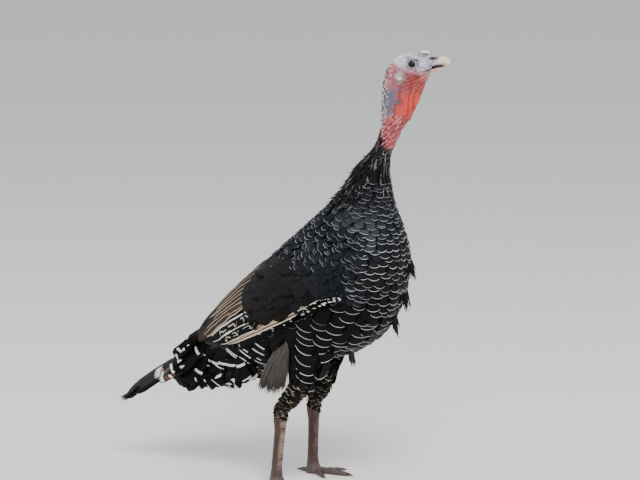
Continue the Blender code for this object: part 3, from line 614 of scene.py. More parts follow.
def paint_head(points, marks):
    nape, warts, crease_shade = marks
    forward, up, across, _ = head_masks(points)
    mottled = fractal(points, 0.009, 51)
    fine = fractal(points, 0.0028, 61)
    colour = filled(points, 198, 190, 206)
    colour = mixed(colour, tone(160, 152, 178), np.clip(0.40 + 0.6 * mottled, 0, 1) * 0.7)
    colour = mixed(colour, tone(222, 208, 206), step(0.25, 0.8, fine) * 0.5)
    crown = bell(forward, 0.172, 0.016) * step(0.648, 0.660, up)
    colour = mixed(colour, tone(240, 230, 234), crown)
    cheek = step(-0.002, 0.011, 0.6470 - up + 0.30 * (0.200 - forward) + 0.0042 * mottled)
    colour = mixed(colour, tone(146, 76, 84), 0.94 * cheek)
    below_eye = bell(forward, 0.203, 0.014) * bell(up, 0.6425, 0.0035)
    colour = mixed(colour, tone(190, 132, 146), np.clip(0.8 * below_eye * (1 + 0.5 * mottled), 0, 1))
    rear_face = bell(forward, 0.172, 0.012) * bell(up, 0.643, 0.013)
    colour = mixed(colour, tone(190, 98, 112), np.clip(0.9 * rear_face * (1 + 0.4 * mottled), 0, 1))
    throat = step(0.34, 0.64, across + 0.12 * mottled) * step(-0.003, 0.010, 0.6415 - up + 0.002 * mottled)
    colour = mixed(colour, tone(166, 70, 66), throat)
    flush = step(0.50, 0.78, across + 0.06 * mottled) * bell(up, 0.585, 0.024)
    colour = mixed(colour, tone(206, 62, 48), np.clip(flush, 0, 1))
    chin = bell(forward, 0.222, 0.010) * bell(up, 0.634, 0.006)
    colour = mixed(colour, tone(204, 132, 116), 0.6 * chin)
    blue = step(0.02, 0.16, across) * (1 - step(0.38, 0.60, across + 0.10 * mottled))
    blue = blue * step(0.564, 0.580, up) * (1 - step(0.606, 0.622, up + 0.004 * mottled))
    colour = mixed(colour, tone(82, 92, 110), np.clip(blue * (0.92 + 0.25 * fine), 0, 1))
    lower = 1 - step(0.560, 0.582, up + 0.003 * mottled)
    colour = mixed(colour, tone(168, 76, 80), lower * (0.72 + 0.23 * (across > 0.3)))
    for label in SIDES:
        reach, along, over = lid_distance(points, label)
        colour = mixed(colour, tone(142, 132, 156), 0.75 * bell(reach, 1.45, 0.45))
        colour = mixed(colour, tone(182, 172, 192), 0.7 * bell(reach, 1.20, 0.08))
        # painted shade along the fold over the eye, and deeper in the crease above its front corner
        colour = mixed(colour, tone(58, 50, 66), 0.85 * brow_line(along, over) * (reach < FACE_REACH))
        fold = np.hypot((along - 0.0045) / 0.0028, (over - 0.0066) / 0.0010)
        colour = mixed(colour, tone(24, 20, 28), 0.95 * np.exp(-(fold**4)) * (reach < FACE_REACH))
        colour = mixed(colour, tone(22, 17, 20), 1 - step(0.98, 1.12, reach))
    rear = 1 - step(0.08, 0.24, across + 0.10 * mottled)
    beads = rear * (1 - step(0.646, 0.658, up))
    colour = mixed(colour, tone(66, 56, 62), 0.85 * beads)
    pale = mixed(filled(points, 232, 220, 208), tone(166, 132, 140), step(0.08, 0.36, across))
    pale = pale * (0.88 + 0.22 * noise(points, 0.006, 29))[:, None]
    colour = colour + (pale - colour) * np.clip(nape * 1.3 - 0.22, 0, 0.92)[:, None]
    colour = mixed(colour, tone(224, 142, 142), np.clip(1.2 * warts - 0.25, 0, 1) * 0.75)
    ear = np.hypot(forward - EAR_AT[0], up - EAR_AT[1]) * (1 + 0.30 * noise(points, 0.005, 13))
    colour = mixed(colour, tone(142, 150, 148), 0.75 * (1 - step(0.0060, 0.0100, ear)))
    white = (1 - step(0.0034, 0.0056, ear)) * np.clip(0.85 + 0.6 * fine, 0.35, 1)
    colour = mixed(colour, tone(206, 216, 204), white)
    (at_f, at_z), radii = SNOOD
    # painted shadow on the skin just under the snood
    root = np.hypot((forward - at_f) / (radii[1] * 1.12), (up - at_z + 0.0010) / (radii[2] * 1.30))
    colour = mixed(colour, tone(44, 38, 50), 0.60 * bell(root, 1.0, 0.20) * (up < at_z))
    cere = step(0.2215, 0.2290, forward) * (up > 0.6475)
    colour = mixed(colour, tone(172, 166, 186), 0.6 * cere)
    # painted shade along the corner of the mouth
    colour = mixed(colour, tone(40, 24, 26), 0.9 * gape_line(forward, up))
    # painted shade in the nostril slit
    colour = mixed(colour, tone(18, 15, 20), np.clip(1.4 * nostril(points), 0, 1))
    # painted shade: the skin darkened along its creases, wrinkles and folds
    colour = colour * (0.94 - 0.50 * crease_shade + 0.10 * fine)[:, None]
    feathered = 1 - step(0.0, 0.010, up - collar_height(across) + 0.004 * mottled)
    return mixed(colour, tone(24, 22, 25), feathered)


def shape_leg(points, normals):
    """Scutes down the front of each shank and along each toe, and small scales between."""
    up = points[:, 2]
    side = np.where(points[:, 0] > 0, LEG_OUT, -LEG_OUT)
    forward = forward_of(points)
    ankle = np.where(side > 0, LEFT_LEG[0], RIGHT_LEG[0]) + 0.0025
    facing = normals[:, 1] < -0.25
    on_shank = step(0.014, 0.022, up) * (1 - step(0.116, 0.124, up))
    ring = np.abs(((up + 0.0012 * noise(points, 0.02, 71)) / 0.0046) % 1 - 0.5) * 2
    scute = step(0.72, 0.98, ring) * facing * on_shank
    away = np.hypot(points[:, 0] - side, forward - ankle)
    toe_ring = np.abs((away / 0.0040) % 1 - 0.5) * 2
    on_toe = (1 - step(0.011, 0.017, up)) * (normals[:, 2] > 0.1) * step(0.010, 0.014, away)
    toe_scute = step(0.70, 0.98, toe_ring) * on_toe
    rng = np.random.default_rng(8)
    seeds = points[rng.choice(len(points), 2600, replace=False)]
    small = knobs(points, seeds, np.full(len(seeds), 0.0017))
    plain = on_shank * (1 - facing) + (1 - step(0.011, 0.017, up)) * (normals[:, 2] <= 0.1)
    move = -0.00065 * (scute + toe_scute) + 0.00022 * small * np.clip(plain, 0, 1)
    move += 0.00012 * fractal(points, 0.003, 81)
    groove = np.clip(scute + toe_scute + 0.7 * plain * (small < 0.35), 0, 1)
    return points + normals * move[:, None], groove


def paint_leg(points, groove):
    up = points[:, 2]
    mottled = fractal(points, 0.008, 91)
    colour = filled(points, 52, 31, 24)
    colour = mixed(colour, tone(66, 50, 46), 1 - step(0.015, 0.05, up))
    colour = mixed(colour, tone(82, 68, 68), 1 - step(0.006, 0.02, up))
    colour = mixed(colour, tone(86, 55, 46), np.clip(0.1 + mottled, 0, 1) * 0.6)
    colour = mixed(colour, tone(66, 40, 34), np.clip(-0.1 - mottled, 0, 1) * 0.9)
    # painted highlight down the front of each shank, far stronger on the near right leg than on the far one,
    # broken into patches
    front = step(0.0005, 0.0060, forward_of(points) - leg_forward(points)) * step(0.02, 0.04, up)
    glints = np.clip(0.75 + 0.9 * fractal(points, 0.006, 93), 0.15, 1)
    front *= np.where(points[:, 0] > 0, 0.30, 0.85) * glints
    colour = mixed(colour, tone(138, 114, 104), front)
    colour = mixed(colour, tone(42, 27, 24), groove * 0.8)
    return mixed(colour, tone(70, 48, 42), 0.6 * step(0.105, 0.125, up))


COAT_DEPTH = 0.0055  # of the skin under the roots of the coat
HEAD_VOXEL, FOOT_VOXEL, COVERED_VOXEL = 0.00088, 0.00096, 0.0042
BILL_VOXEL, CLAW_VOXEL = 0.00055, 0.0006
COLLAR_LOW = 0.497  # where the fine skin of the neck ends, under the coat


def snood_part():
    """The short soft knob over the root of the bill, ringed by folds."""
    (forward, up), radii = SNOOD
    rows, cols = 22, 28
    points = []
    for i in range(rows):
        polar = math.pi * (i + 0.5) / rows
        for j in range(cols):
            angle = 2 * math.pi * j / cols
            fold = 1 + 0.07 * math.sin(polar * 13) + 0.04 * math.sin(3 * angle)
            points.append((
                math.sin(polar) * math.cos(angle) * radii[0] * fold,
                math.cos(polar) * radii[1],
                math.sin(polar) * math.sin(angle) * radii[2] * fold,
            ))
    points = np.array(points)
    faces = ring_faces(rows, cols)
    middle = len(points)
    ends = [points[:cols].mean(0), points[-cols:].mean(0)]
    last = (rows - 1) * cols
    for j in range(0, cols, 2):
        faces.append((middle, (j + 2) % cols, (j + 1) % cols, j))
        faces.append((middle + 1, last + j, last + (j + 1) % cols, last + (j + 2) % cols))
    points = np.vstack((points, ends)) + place(0, forward, up)
    return points, np.array(faces)


def build_skin():
    """One skin: a fine part over head and neck, one over each shank and foot, and the covered body."""
    balls = [(EYES[label], EYE_SOCKET) for label in SIDES]
    points, faces, normals = fused(FLESH + ["dewlap", "ear_left", "ear_right"], HEAD_VOXEL, 32, balls)
    points, marks = shape_head(points, faces, normals)
    keep = points[faces].min(axis=1)[:, 2] > COLLAR_LOW
    parts = [(points, faces[keep], paint_head(points, marks))]
    snood, snood_faces = snood_part()
    soft = filled(snood, 222, 212, 204) * (1 + 0.1 * noise(snood, 0.003, 5))[:, None]
    (_, snood_up), radii = SNOOD
    # painted shadow: the lower part of the snood darkened
    soft = mixed(soft, tone(38, 33, 44), 1 - step(-0.55, -0.15, (snood[:, 2] - snood_up) / radii[2]))
    parts.append((snood, snood_faces, soft))
    for label in SIDES:
        points, faces, normals = fused(foot_nodes(label), FOOT_VOXEL, 8)
        points, groove = shape_leg(points, normals)
        points[:, 2] = np.maximum(points[:, 2], 0.0)
        parts.append((points, faces, paint_leg(points, groove)))
    points, faces, normals = fused(BODY_NODES, COVERED_VOXEL, 8)
    up = points[:, 2]
    depth = COAT_DEPTH * step(0.122, 0.165, up) * (1 - 0.6 * step(0.46, 0.52, up)) + 0.0012
    points = points - normals * depth[:, None]
    colour = mixed(filled(points, 26, 25, 27), tone(52, 44, 38), 1 - step(0.14, 0.20, up))
    parts.append((points, faces, colour))
    offset = 0
    stacked = []
    for points, faces, colour in parts:
        used = np.unique(faces)
        renumber = np.zeros(len(points), int)
        renumber[used] = np.arange(len(used))
        stacked.append((points[used], renumber[faces] + offset, colour[used]))
        offset += len(used)
    points, faces, colour = (np.vstack(column) for column in zip(*stacked))
    skin = make_piece("skin", points, faces, colour, skin_material())
    covered = FLESH + ["breast", "trunk", "rump", "snood", "ear_left", "ear_right", "dewlap", *LIMBS]
    for label in SIDES:
        covered += foot_nodes(label)
    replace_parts(skin, *covered)


# ---- bill, claws and eyes -----------------------------------------------------------------------
def build_bill():
    """The horn of both mandibles, with the top of the lower one raised and darkened as painted shade in the
    gap of a mouth held just open.
    """
    for name, rounds in (("bill_upper", 10), ("bill_lower", 8)):
        points, faces, normals = fused([name], BILL_VOXEL, rounds)
        forward, up = forward_up(points)
        if name == "bill_upper":
            slit = nostril(points)
            points = points - normals * (0.0018 * slit)[:, None]
            colour = filled(points, 206, 196, 160)
            root = 1 - step(0.2385, 0.2455, forward - 0.30 * (up - 0.66))
            colour = mixed(colour, tone(168, 162, 180), root)
            edge = np.interp(forward, (0.231, 0.2435, 0.255), (0.6505, 0.6538, 0.6535))
            colour = mixed(colour, tone(112, 88, 78), 0.6 * (1 - step(0.0, 0.0016, up - edge)))
            # painted shade in the nostril slit
            colour = mixed(colour, tone(20, 18, 24), np.clip(slit * 1.5, 0, 1))
        else:
            half = np.interp(forward, (0.228, 0.235, 0.245, 0.2525), (0.0045, 0.0062, 0.0043, 0.0020))
            inner = 1 - step(0.55, 0.85, np.abs(points[:, 0]) / half)
            raised = inner * step(0.0, 0.5, normals[:, 2]) * step(0.226, 0.232, forward)
            raised = raised * (1 - step(0.244, 0.251, forward))
            points = points + UP * (0.0031 * raised)[:, None]
            colour = filled(points, 198, 176, 146)
            colour = mixed(colour, tone(206, 142, 124), 1 - step(0.229, 0.242, forward))
            # painted shade: the raised top and upward faces of the lower mandible darkened for the shaded
            # inside of the open mouth
            dark = np.clip(raised * 1.5 + 0.8 * step(0.6, 0.9, normals[:, 2]), 0, 1)
            colour = mixed(colour, tone(40, 22, 22), dark)
        points = points + normals * (0.00010 * fractal(points, 0.002, 15))[:, None]
        colour = colour * (1 + 0.09 * fractal(points * np.array((1, 0.25, 1)), 0.002, 25))[:, None]
        material, shader = new_material(name + "_horn", 0.34, 0.5)
        grain = grained(material, shader, 700.0, 3.0, 0.88, 1.12)
        bumped(material, shader, grain, 0.15, 0.0003)
        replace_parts(make_piece(name + "_fine", points, faces, colour, material), name)


def build_claws():
    names = [f"claw_{toe}_{label}" for toe in TOES for label in SIDES]
    points, faces, _ = fused(names, CLAW_VOXEL, 5)
    colour = filled(points, 44, 36, 36) * (1 + 0.25 * fractal(points, 0.004, 35))[:, None]
    material, shader = new_material("claw_paint", 0.32, 0.5)
    grained(material, shader, 600.0, 2.0, 0.75, 1.25)
    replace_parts(make_piece("claws", points, faces, colour, material), *names)


def build_eyes():
    """Each eye is a ball that bulges at the pupil, which is black in a dark iris."""
    rows, cols = 24, 32
    for label, side in SIDES.items():
        points, colour = [], []
        for i in range(rows + 1):
            polar = math.pi * i / rows
            for j in range(cols):
                angle = 2 * math.pi * j / cols
                bulge = EYE_BALL * (1 + 0.05 * max(0.0, math.cos(polar)) ** 6)
                points.append((
                    side * math.cos(polar) * bulge,
                    math.sin(polar) * math.cos(angle) * bulge,
                    math.sin(polar) * math.sin(angle) * bulge,
                ))
                across = math.degrees(polar)
                fleck = 0.75 + 0.5 * (math.sin(angle * 23) * math.sin(angle * 7) > 0)
                if across < PUPIL_REACH:
                    colour.append(tone(6, 5, 6))
                elif across < IRIS_REACH:
                    colour.append(tone(24, 13, 10) * fleck)
                else:
                    colour.append(tone(14, 10, 11))
        points = np.array(points) + EYES[label]
        faces = np.array(ring_faces(rows + 1, cols))
        if side > 0:
            faces = faces[:, ::-1]
        material, shader = new_material("eye_wet_" + label, 0.08, 0.22)
        grained(material, shader, 900.0, 2.0, 0.85, 1.15)
        eye = make_piece("eyeball_" + label, points, faces, np.array(colour), material)
        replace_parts(eye, "eye_" + label)


# ---- vanes --------------------------------------------------------------------------------------
TIP_START = 0.76  # where a body feather's rounded tip begins, along its length
MARK_LIFT, MARK_THICK = 0.00030, 0.00014  # of a raised mark over its vane
QUILL_MARK = (0.00045, 0.00018)  # the same, on the thicker vanes of the wing
TAIL_MARK = (0.0006, 0.0002)  # and on those of the tail
QUILL_CAMBER = 0.06
RIM_OUT = 0.985  # of the rounded tip, where its pale edge ends
BAKE_PATCH = 0.003  # of the shared unwrap that one vane takes
MAP_STEP = 3.17  # between the maps of two vanes of a piece


class Vanes:
    """Feathers as three points and normals each, from root to tip, with lengths and half widths."""

    def __init__(self, line, normals, half_widths, camber=0.12):
        self.line = line
        self.normals = unit(normals)
        self.half = np.asarray(half_widths, float)
        self.camber = camber
        self.roots = unwrap(line[:, 0], line[:, 0])

    def __len__(self):
        return len(self.line)

    def pick(self, mask):
        return Vanes(self.line[mask], self.normals[mask], self.half[mask], self.camber)

    def tips(self):
        """How far forward and how high each tip lies."""
        return forward_of(self.line[:, 2]), self.line[:, 2, 2]

    def at(self, along, across, lift):
        """The points at these places on every feather: along from 0 to 1, across in half widths."""
        t = np.asarray(along)[:, None]
        basis = np.hstack((2 * (t - 0.5) * (t - 1), -4 * t * (t - 1), 2 * t * (t - 0.5)))
        slope = np.hstack((4 * t - 3, 4 - 8 * t, 4 * t - 1))
        middle = np.einsum("mk,nkc->nmc", basis, self.line)
        tangent = unit(np.einsum("mk,nkc->nmc", slope, self.line))
        normal = unit(np.einsum("mk,nkc->nmc", basis, self.normals))
        side = unit(np.cross(normal, tangent))
        y = np.asarray(across)[None, :, None] * self.half[:, None, None]
        drop = self.camber * np.asarray(across)[None, :, None] ** 2 * self.half[:, None, None]
        return middle + side * y + normal * (np.asarray(lift)[None, :, None] - drop)


def outline(kind, rows):
    """Stations along a vane, and its half width at each."""
    if kind == "round":
        base = np.array((0.0, 0.22, 0.50))
        turn = np.radians(np.linspace(90, 8, rows - 3))
        t = np.concatenate((base, TIP_START + (1 - TIP_START) * np.cos(turn)))
        w = np.concatenate(((0.34, 0.72, 0.94), np.sin(turn)))
    elif kind == "long":
        t = np.array((0.0, 0.12, 0.35, 0.60, 0.80, 0.90, 0.96, 0.99))
        w = np.array((0.30, 0.72, 0.95, 1.0, 0.97, 0.80, 0.50, 0.18))
    elif kind == "square":
        t = np.array((0.0, 0.15, 0.40, 0.65, 0.85, 0.95, 0.985, 1.0))
        w = np.array((0.30, 0.60, 0.82, 0.95, 1.0, 0.92, 0.70, 0.40))
    else:
        t = np.array((0.0, 0.25, 0.55, 0.80, 1.0))
        w = np.array((0.40, 0.95, 0.90, 0.55, 0.08))
    return t, w


def vane_template(kind, thick, rows=8):
    """Stations, offsets and faces of one vane: five points over and one under at each station."""
    t, w = outline(kind, rows)
    along, across, lift = [], [], []
    for ti, wi in zip(t, w):
        for share in (-1, -0.5, 0, 0.5, 1):
            along.append(ti)
            across.append(share * wi)
            lift.append(thick * (1 - share * share) * 0.5)
        along.append(ti)
        across.append(0.0)
        lift.append(-thick * 0.5)
    faces = ring_faces(len(t), 6)
    end = (len(t) - 1) * 6
    faces += [(0, 5, 2, 1), (2, 5, 4, 3)]
    faces += [(end + 1, end + 2, end + 5, end), (end + 3, end + 4, end + 5, end + 2)]
    return np.array(along), np.array(across), np.array(lift), np.array(faces)


def strip_template(strips, lift=MARK_LIFT, thick=MARK_THICK):
    """A raised mark on a vane: each strip is a list of stations, each two (along, across) borders."""
    along, across, lifts, faces = [], [], [], []
    for strip in strips:
        start = len(along)
        for (t0, y0), (t1, y1) in strip:
            for t, y, up in (
                (t0, y0, lift), ((t0 + t1) / 2, (y0 + y1) / 2, lift + thick), (t1, y1, lift),
                ((t0 + t1) / 2, (y0 + y1) / 2, lift - thick * 2),
            ):
                along.append(t)
                across.append(y)
                lifts.append(up)
        faces += [tuple(start + corner for corner in quad) for quad in ring_faces(len(strip), 4)]
        end = start + 4 * (len(strip) - 1)
        faces += [(start + 3, start + 2, start + 1, start), (end, end + 1, end + 2, end + 3)]
    return np.array(along), np.array(across), np.array(lifts), np.array(faces)


def rim_strip(thick, reach=66, stations=9, root_share=0.25):
    """The pale edge round a rounded tip, widest at its middle."""
    strip = []
    for angle in np.radians(np.linspace(-reach, reach, stations)):
        fade = root_share + (1 - root_share) * math.cos(angle / math.radians(reach) * math.pi / 2)
        inner = RIM_OUT - thick * fade
        strip.append((
            (TIP_START + (1 - TIP_START) * math.cos(angle) * RIM_OUT, math.sin(angle) * RIM_OUT),
            (TIP_START + (1 - TIP_START) * math.cos(angle) * inner, math.sin(angle) * inner),
        ))
    return strip


def bar_strip(start, end, reach=0.9, stations=6, bow=0.25):
    """A bar across a vane between two stations, bowed like its tip."""
    strip = []
    for y in np.linspace(-reach, reach, stations):
        sag = bow * (1 - TIP_START) * (1 - math.sqrt(1 - min(0.98, y * y)))
        strip.append(((end - sag, y), (start - sag, y)))
    return strip


def line_strip(y0, y1, start, end, stations=6, wobble=0.0, seed=0):
    """A stripe along a vane, between two shares of its half width."""
    rng = np.random.default_rng(seed)
    t_known, w_known = outline("long", 8)
    strip = []
    for t in np.linspace(start, end, stations):
        w = np.interp(t, t_known, w_known)
        shift = rng.uniform(-wobble, wobble)
        strip.append(((t, w * (y1 + shift)), (t, w * (y0 + shift))))
    return strip


def dress(name, vanes, template, paint, vane, mirror=False):
    """One piece of coat: the template laid on every vane, each in its own colour."""
    if not len(vanes):
        return None
    along, across, lift, faces = template
    if mirror:
        across, faces = -across, faces[:, ::-1]
    count, size = len(vanes), len(along)
    points = vanes.at(along, across, lift).reshape(-1, 3)
    all_faces = (faces[None] + np.arange(count)[:, None, None] * size).reshape(-1, 4)
    own = np.stack((0.5 + 0.5 * across, along), axis=1)
    patch = (own - 0.5) * BAKE_PATCH
    corner_uv = (vanes.roots[:, None] + patch[faces.ravel()][None]).reshape(-1, 2)
    length = np.linalg.norm(vanes.line[:, 2] - vanes.line[:, 0], axis=1) / MAP_LENGTH
    own_uv = np.broadcast_to(own[faces.ravel()][None], (count, faces.size, 2)).copy()
    own_uv[:, :, 1] = own_uv[:, :, 1] * length[:, None] + MAP_STEP * np.arange(count)[:, None]
    colour = np.repeat(np.asarray(paint), size, axis=0)
    corner_uv = np.clip(corner_uv, 0.001, 0.999)
    return make_piece(name, points, all_faces, colour, VANE[vane], corner_uv, own_uv.reshape(-1, 2))


def toned(name, vanes, template, tones, vane, rng, mirror=False):
    """One piece of coat, its colours drawn by shades() from these tones."""
    return dress(name, vanes, template, shades(rng, len(vanes), *tones), vane, mirror)


def flow_height(points):
    """The height on the breast that the row of feathers through each point starts from."""
    return points[:, 2] + np.interp(forward_of(points), FLOW_AT, FLOW_RISE)


def lay(surface, roots, flow, length, half_width, sink, rise, rng, yaw=0.07, camber=0.07, slack=0.004):
    """Feathers lying on a surface from these roots: sink below it at the root, rise above at the tip."""
    length = np.broadcast_to(length, len(roots)) * rng.uniform(0.88, 1.12, len(roots))
    line = np.empty((len(roots), 3, 3))
    normals = np.empty((len(roots), 3, 3))
    point, normal = surface.nearest(roots)
    heading = flow(point)
    heading = unit(heading - normal * np.sum(heading * normal, axis=1, keepdims=True))
    turn = rng.normal(0, yaw, (len(roots), 1))
    heading = heading * np.cos(turn) + np.cross(normal, heading) * np.sin(turn)
    line[:, 0] = point
    normals[:, 0] = normal
    for k in (1, 2):
        target = line[:, k - 1] + heading * length[:, None] / 2
        point, normal = surface.nearest(target)
        over = target - point
        away = np.linalg.norm(over, axis=1, keepdims=True)
        point = point + over * np.clip(1 - slack / np.maximum(away, 1e-9), 0, 1)
        facing = np.sum(normal * normals[:, k - 1], axis=1, keepdims=True)
        normal = np.where(facing > 0.3, normal, normals[:, k - 1])
        heading = unit(point - line[:, k - 1])
        line[:, k] = point
        normals[:, k] = unit(normal + 0.6 * normals[:, k - 1])
    lifts = (-sink, -sink * 0.42, rise)
    for k, up in enumerate(lifts):
        line[:, k] += normals[:, k] * np.broadcast_to(up, len(roots))[:, None]
    line[:, 2] += normals[:, 2] * rng.uniform(0, 0.0006, (len(roots), 1))
    half = np.broadcast_to(half_width, len(roots)) * rng.uniform(0.9, 1.1, len(roots))
    return Vanes(line, normals, half, camber)


def shades(rng, count, base, spread=0.18, other=None, share=0.0):
    """A colour for each feather, near the base and now and then near the other."""
    colour = np.tile(base, (count, 1)) * (1 + spread * rng.normal(0, 1, (count, 1)))
    if other is not None:
        colour = np.where(rng.random((count, 1)) < share, other, colour)
    return np.clip(colour, 0.002, 1)


# ---- the lie of the coat ------------------------------------------------------------------------
def leg_share(points):
    forward, up = forward_up(points)
    outside = step(LEG_SIDE - 0.006, LEG_SIDE, np.abs(points[:, 0]))
    return outside * (1 - step(0.170, 0.205, up)) * step(-0.045, -0.025, forward)


FLOW_AT = np.linspace(-0.20, 0.20, 81)
FLOW_ANGLE = np.radians(np.interp(FLOW_AT, (-0.20, -0.12, -0.05, 0.03, 0.10, 0.16), (34, 44, 52, 60, 70, 84)))
FLOW_RISE = np.cumsum(1 / np.tan(FLOW_ANGLE)) * 0.005
FLOW_RISE -= np.interp(0.16, FLOW_AT, FLOW_RISE)


def body_flow(points):
    """Down the neck and breast, down and back over the flank, back along the rump, down the leg."""
    forward, up = forward_up(points)
    angle = np.interp(forward, FLOW_AT, FLOW_ANGLE)
    neck = step(0.40, 0.47, up)
    angle = angle * (1 - neck) + np.radians(78) * neck
    heading = np.stack((np.zeros(len(points)), np.cos(angle), -np.sin(angle)), axis=1)
    on_leg = leg_share(points)[:, None]
    lean = (leg_forward(points) - leg_forward(points, 0.008)) / 0.008
    down = unit(np.stack((np.zeros(len(points)), lean, -np.ones(len(points))), axis=1))
    return unit(heading * (1 - on_leg) + down * on_leg)


def body_level(heights, gaps):
    """Counts the rows of feathers, which cross the flow, from these gaps at these heights of the breast."""
    known = np.linspace(-0.1, 0.6, 400)
    count = np.cumsum(1 / np.interp(known, heights, gaps)) * (known[1] - known[0])
    return lambda points: np.interp(flow_height(points), known, count)


BLACK = tone(9, 9, 11)
# black with the blue cast of painted sheen, for the shoulders, the upper back and the cape
BLUE_BLACK = tone(17, 20, 25)
BROWN_BLACK = tone(13, 9, 7)
SILVER = tone(172, 174, 178)
WHITE = tone(222, 220, 212)
BUFF = tone(204, 182, 154)
MAUVE_BROWN = tone(98, 78, 70)

BODY = Surface(BODY_NODES, 0.0040, 14)
LEGS = Surface(LIMBS + ["shank_left", "shank_right"], 0.0028, 10)
WING_NODES = ["wing_primaries_", "wing_secondaries_", "wing_coverts_", "wing_shoulder_"]


def wing_nodes(label):
    return [name + label for name in WING_NODES]


def tree_of(names):
    made = bmesh.new()
    for name in names:
        made.from_mesh(NODES[name].data)
    tree = BVHTree.FromBMesh(made)
    made.free()
    return tree


WING_TREE = {label: tree_of(wing_nodes(label)) for label in SIDES}
FLANK_NODES = ["rump", "trunk", "tail_coverts_upper"]
FLANK = {label: Surface(wing_nodes(label)[:2] + FLANK_NODES, 0.0035, 60) for label in SIDES}
WING = {label: Surface(wing_nodes(label), 0.0040, 40) for label in SIDES}
REAR = Surface(["rump", "trunk", "tail_coverts_upper", "tail_coverts_under", "tail"], 0.0035, 18)


def under_wing(points, normals):
    """True where a folded wing covers the point."""
    found = np.zeros(len(points), bool)
    for i, (p, n) in enumerate(zip(points, normals)):
        if abs(n[0]) < 0.12 and p[2] > 0.2:
            continue
        side = 1 if p[0] > 0 else -1
        label = "left" if side > 0 else "right"
        lower = 1.0 if p[2] < 0.30 and n[2] < 0.35 else 0.0
        start = Vector((p[0] - side * 0.006, p[1] + 0.012 * lower, p[2] - 0.024 * lower))
        found[i] = WING_TREE[label].ray_cast(start, Vector((side, 0, 0)), 0.08)[0] is not None
    return found


VANE = {
    "black": vane_material("black_vane", 0.50, 0.07, 0.35),
    "brown": vane_material("brown_vane", 0.50, 0.13, 0.28),
    "pale": vane_material("pale_vane", 0.60, 0.3, 0.14),
    "down": vane_material("down_vane", 0.85, 0.15, 0.25, 0.2),
}


def sunk_below(points, surface, depth):
    """The points, moved in where they lie less than the depth below the surface."""
    near, normals = surface.nearest(points)
    over = np.sum((points - near) * normals, axis=1) + depth
    close = np.linalg.norm(points - near, axis=1) < 0.008
    return points - normals * (close * np.clip(over, 0, 0.010))[:, None]


def build_underlayer():
    """The dark down that shows wherever vanes part, over wings and tail."""
    groups = {"tail": ["tail", "tail_coverts_upper", "tail_coverts_under"]}
    for label in SIDES:
        groups["wing_" + label] = wing_nodes(label)
    for title, names in groups.items():
        points, faces, normals = fused(names, 0.0030, 4)
        points = points - normals * 0.0016
        if title == "tail":
            depth = np.interp(forward_of(points), (-0.214, -0.192), (0.0012, 0.0064))
            points = sunk_below(points, REAR, depth)
        else:
            label = title.removeprefix("wing_")
            points = sunk_below(points, WING[label], 0.0030)
            points = sunk_below(points, FLANK[label], 0.0012)
        colour = filled(points, 11, 11, 12) * (1 + 0.2 * noise(points, 0.01, 3))[:, None]
        corner_uv = face_unwrap(points, faces)
        make_piece("underlayer_" + title, points, faces, colour, VANE["down"], corner_uv, corner_uv)


def build_neck_coat(rng):
    def spacing(points):
        return np.interp(points[:, 2], (0.46, 0.50, 0.53, 0.56), (6.2, 5.0, 4.0, 3.6)) / 1000

    def allowed(points, normals):
        up = points[:, 2]
        across = neck_across(forward_of(points), up)
        return (up > 0.462) & (up < collar_height(across) + 0.004 + 0.006 * noise(points, 0.01, 9))

    neck = Surface(["neck_feathered", "neck_lower", "breast"], 0.0024, 14)
    roots, _ = neck.scattered(spacing, allowed, 12)
    gap = spacing(roots)
    sink = np.interp(roots[:, 2], (0.46, 0.495, 0.51), (0.0030, 0.0010, -0.0006))
    vanes = lay(neck, roots, body_flow, gap * 4.0, gap * 0.50, sink, 0.0012, rng, 0.16)
    high = step(0.49, 0.52, roots[:, 2])
    paint = shades(rng, len(vanes), tone(17, 15, 18), 0.3)
    pale = (rng.random(len(vanes)) < 0.01 + 0.03 * high)[:, None]
    paint = np.where(pale, tone(118, 110, 110) * rng.uniform(0.5, 1.2, (len(vanes), 1)), paint)
    dress("coat_hackle", vanes, vane_template("point", 0.0004), paint, "black")
    thin = rng.choice(len(vanes), 60, replace=False)
    thin = thin[(roots[thin][:, 2] > 0.466)]
    pale = lay(neck, roots[thin], body_flow, 0.018, 0.0007, -0.0016, 0.0024, rng, 0.22)
    tones = (tone(104, 98, 97), 0.3)
    toned("hackle_streaks", pale, vane_template("point", 0.0003), tones, "pale", rng)
    strands = []
    for _ in range(420):
        up = rng.uniform(0.512, 0.575)
        rear, front = np.interp(up, *BACK_LINE), np.interp(up, *THROAT_LINE)
        across = rng.uniform(0, 1) ** 1.6
        if up > collar_height(across) + 0.024 * rng.random():
            continue
        strands.append(place(0.03 * rng.choice((-1, 1)), rear + (front - rear) * across, up))
    hairs = lay(neck, np.array(strands), body_flow, 0.012, 0.0004, -0.0003, 0.0022, rng, 0.35)
    tones = (tone(22, 18, 20), 0.3)
    toned("bristles", hairs, vane_template("point", 0.0004), tones, "black", rng)


LEG_BANDS = (0.115, 0.15, 0.19)  # heights at which the size of the leg's feathers is given


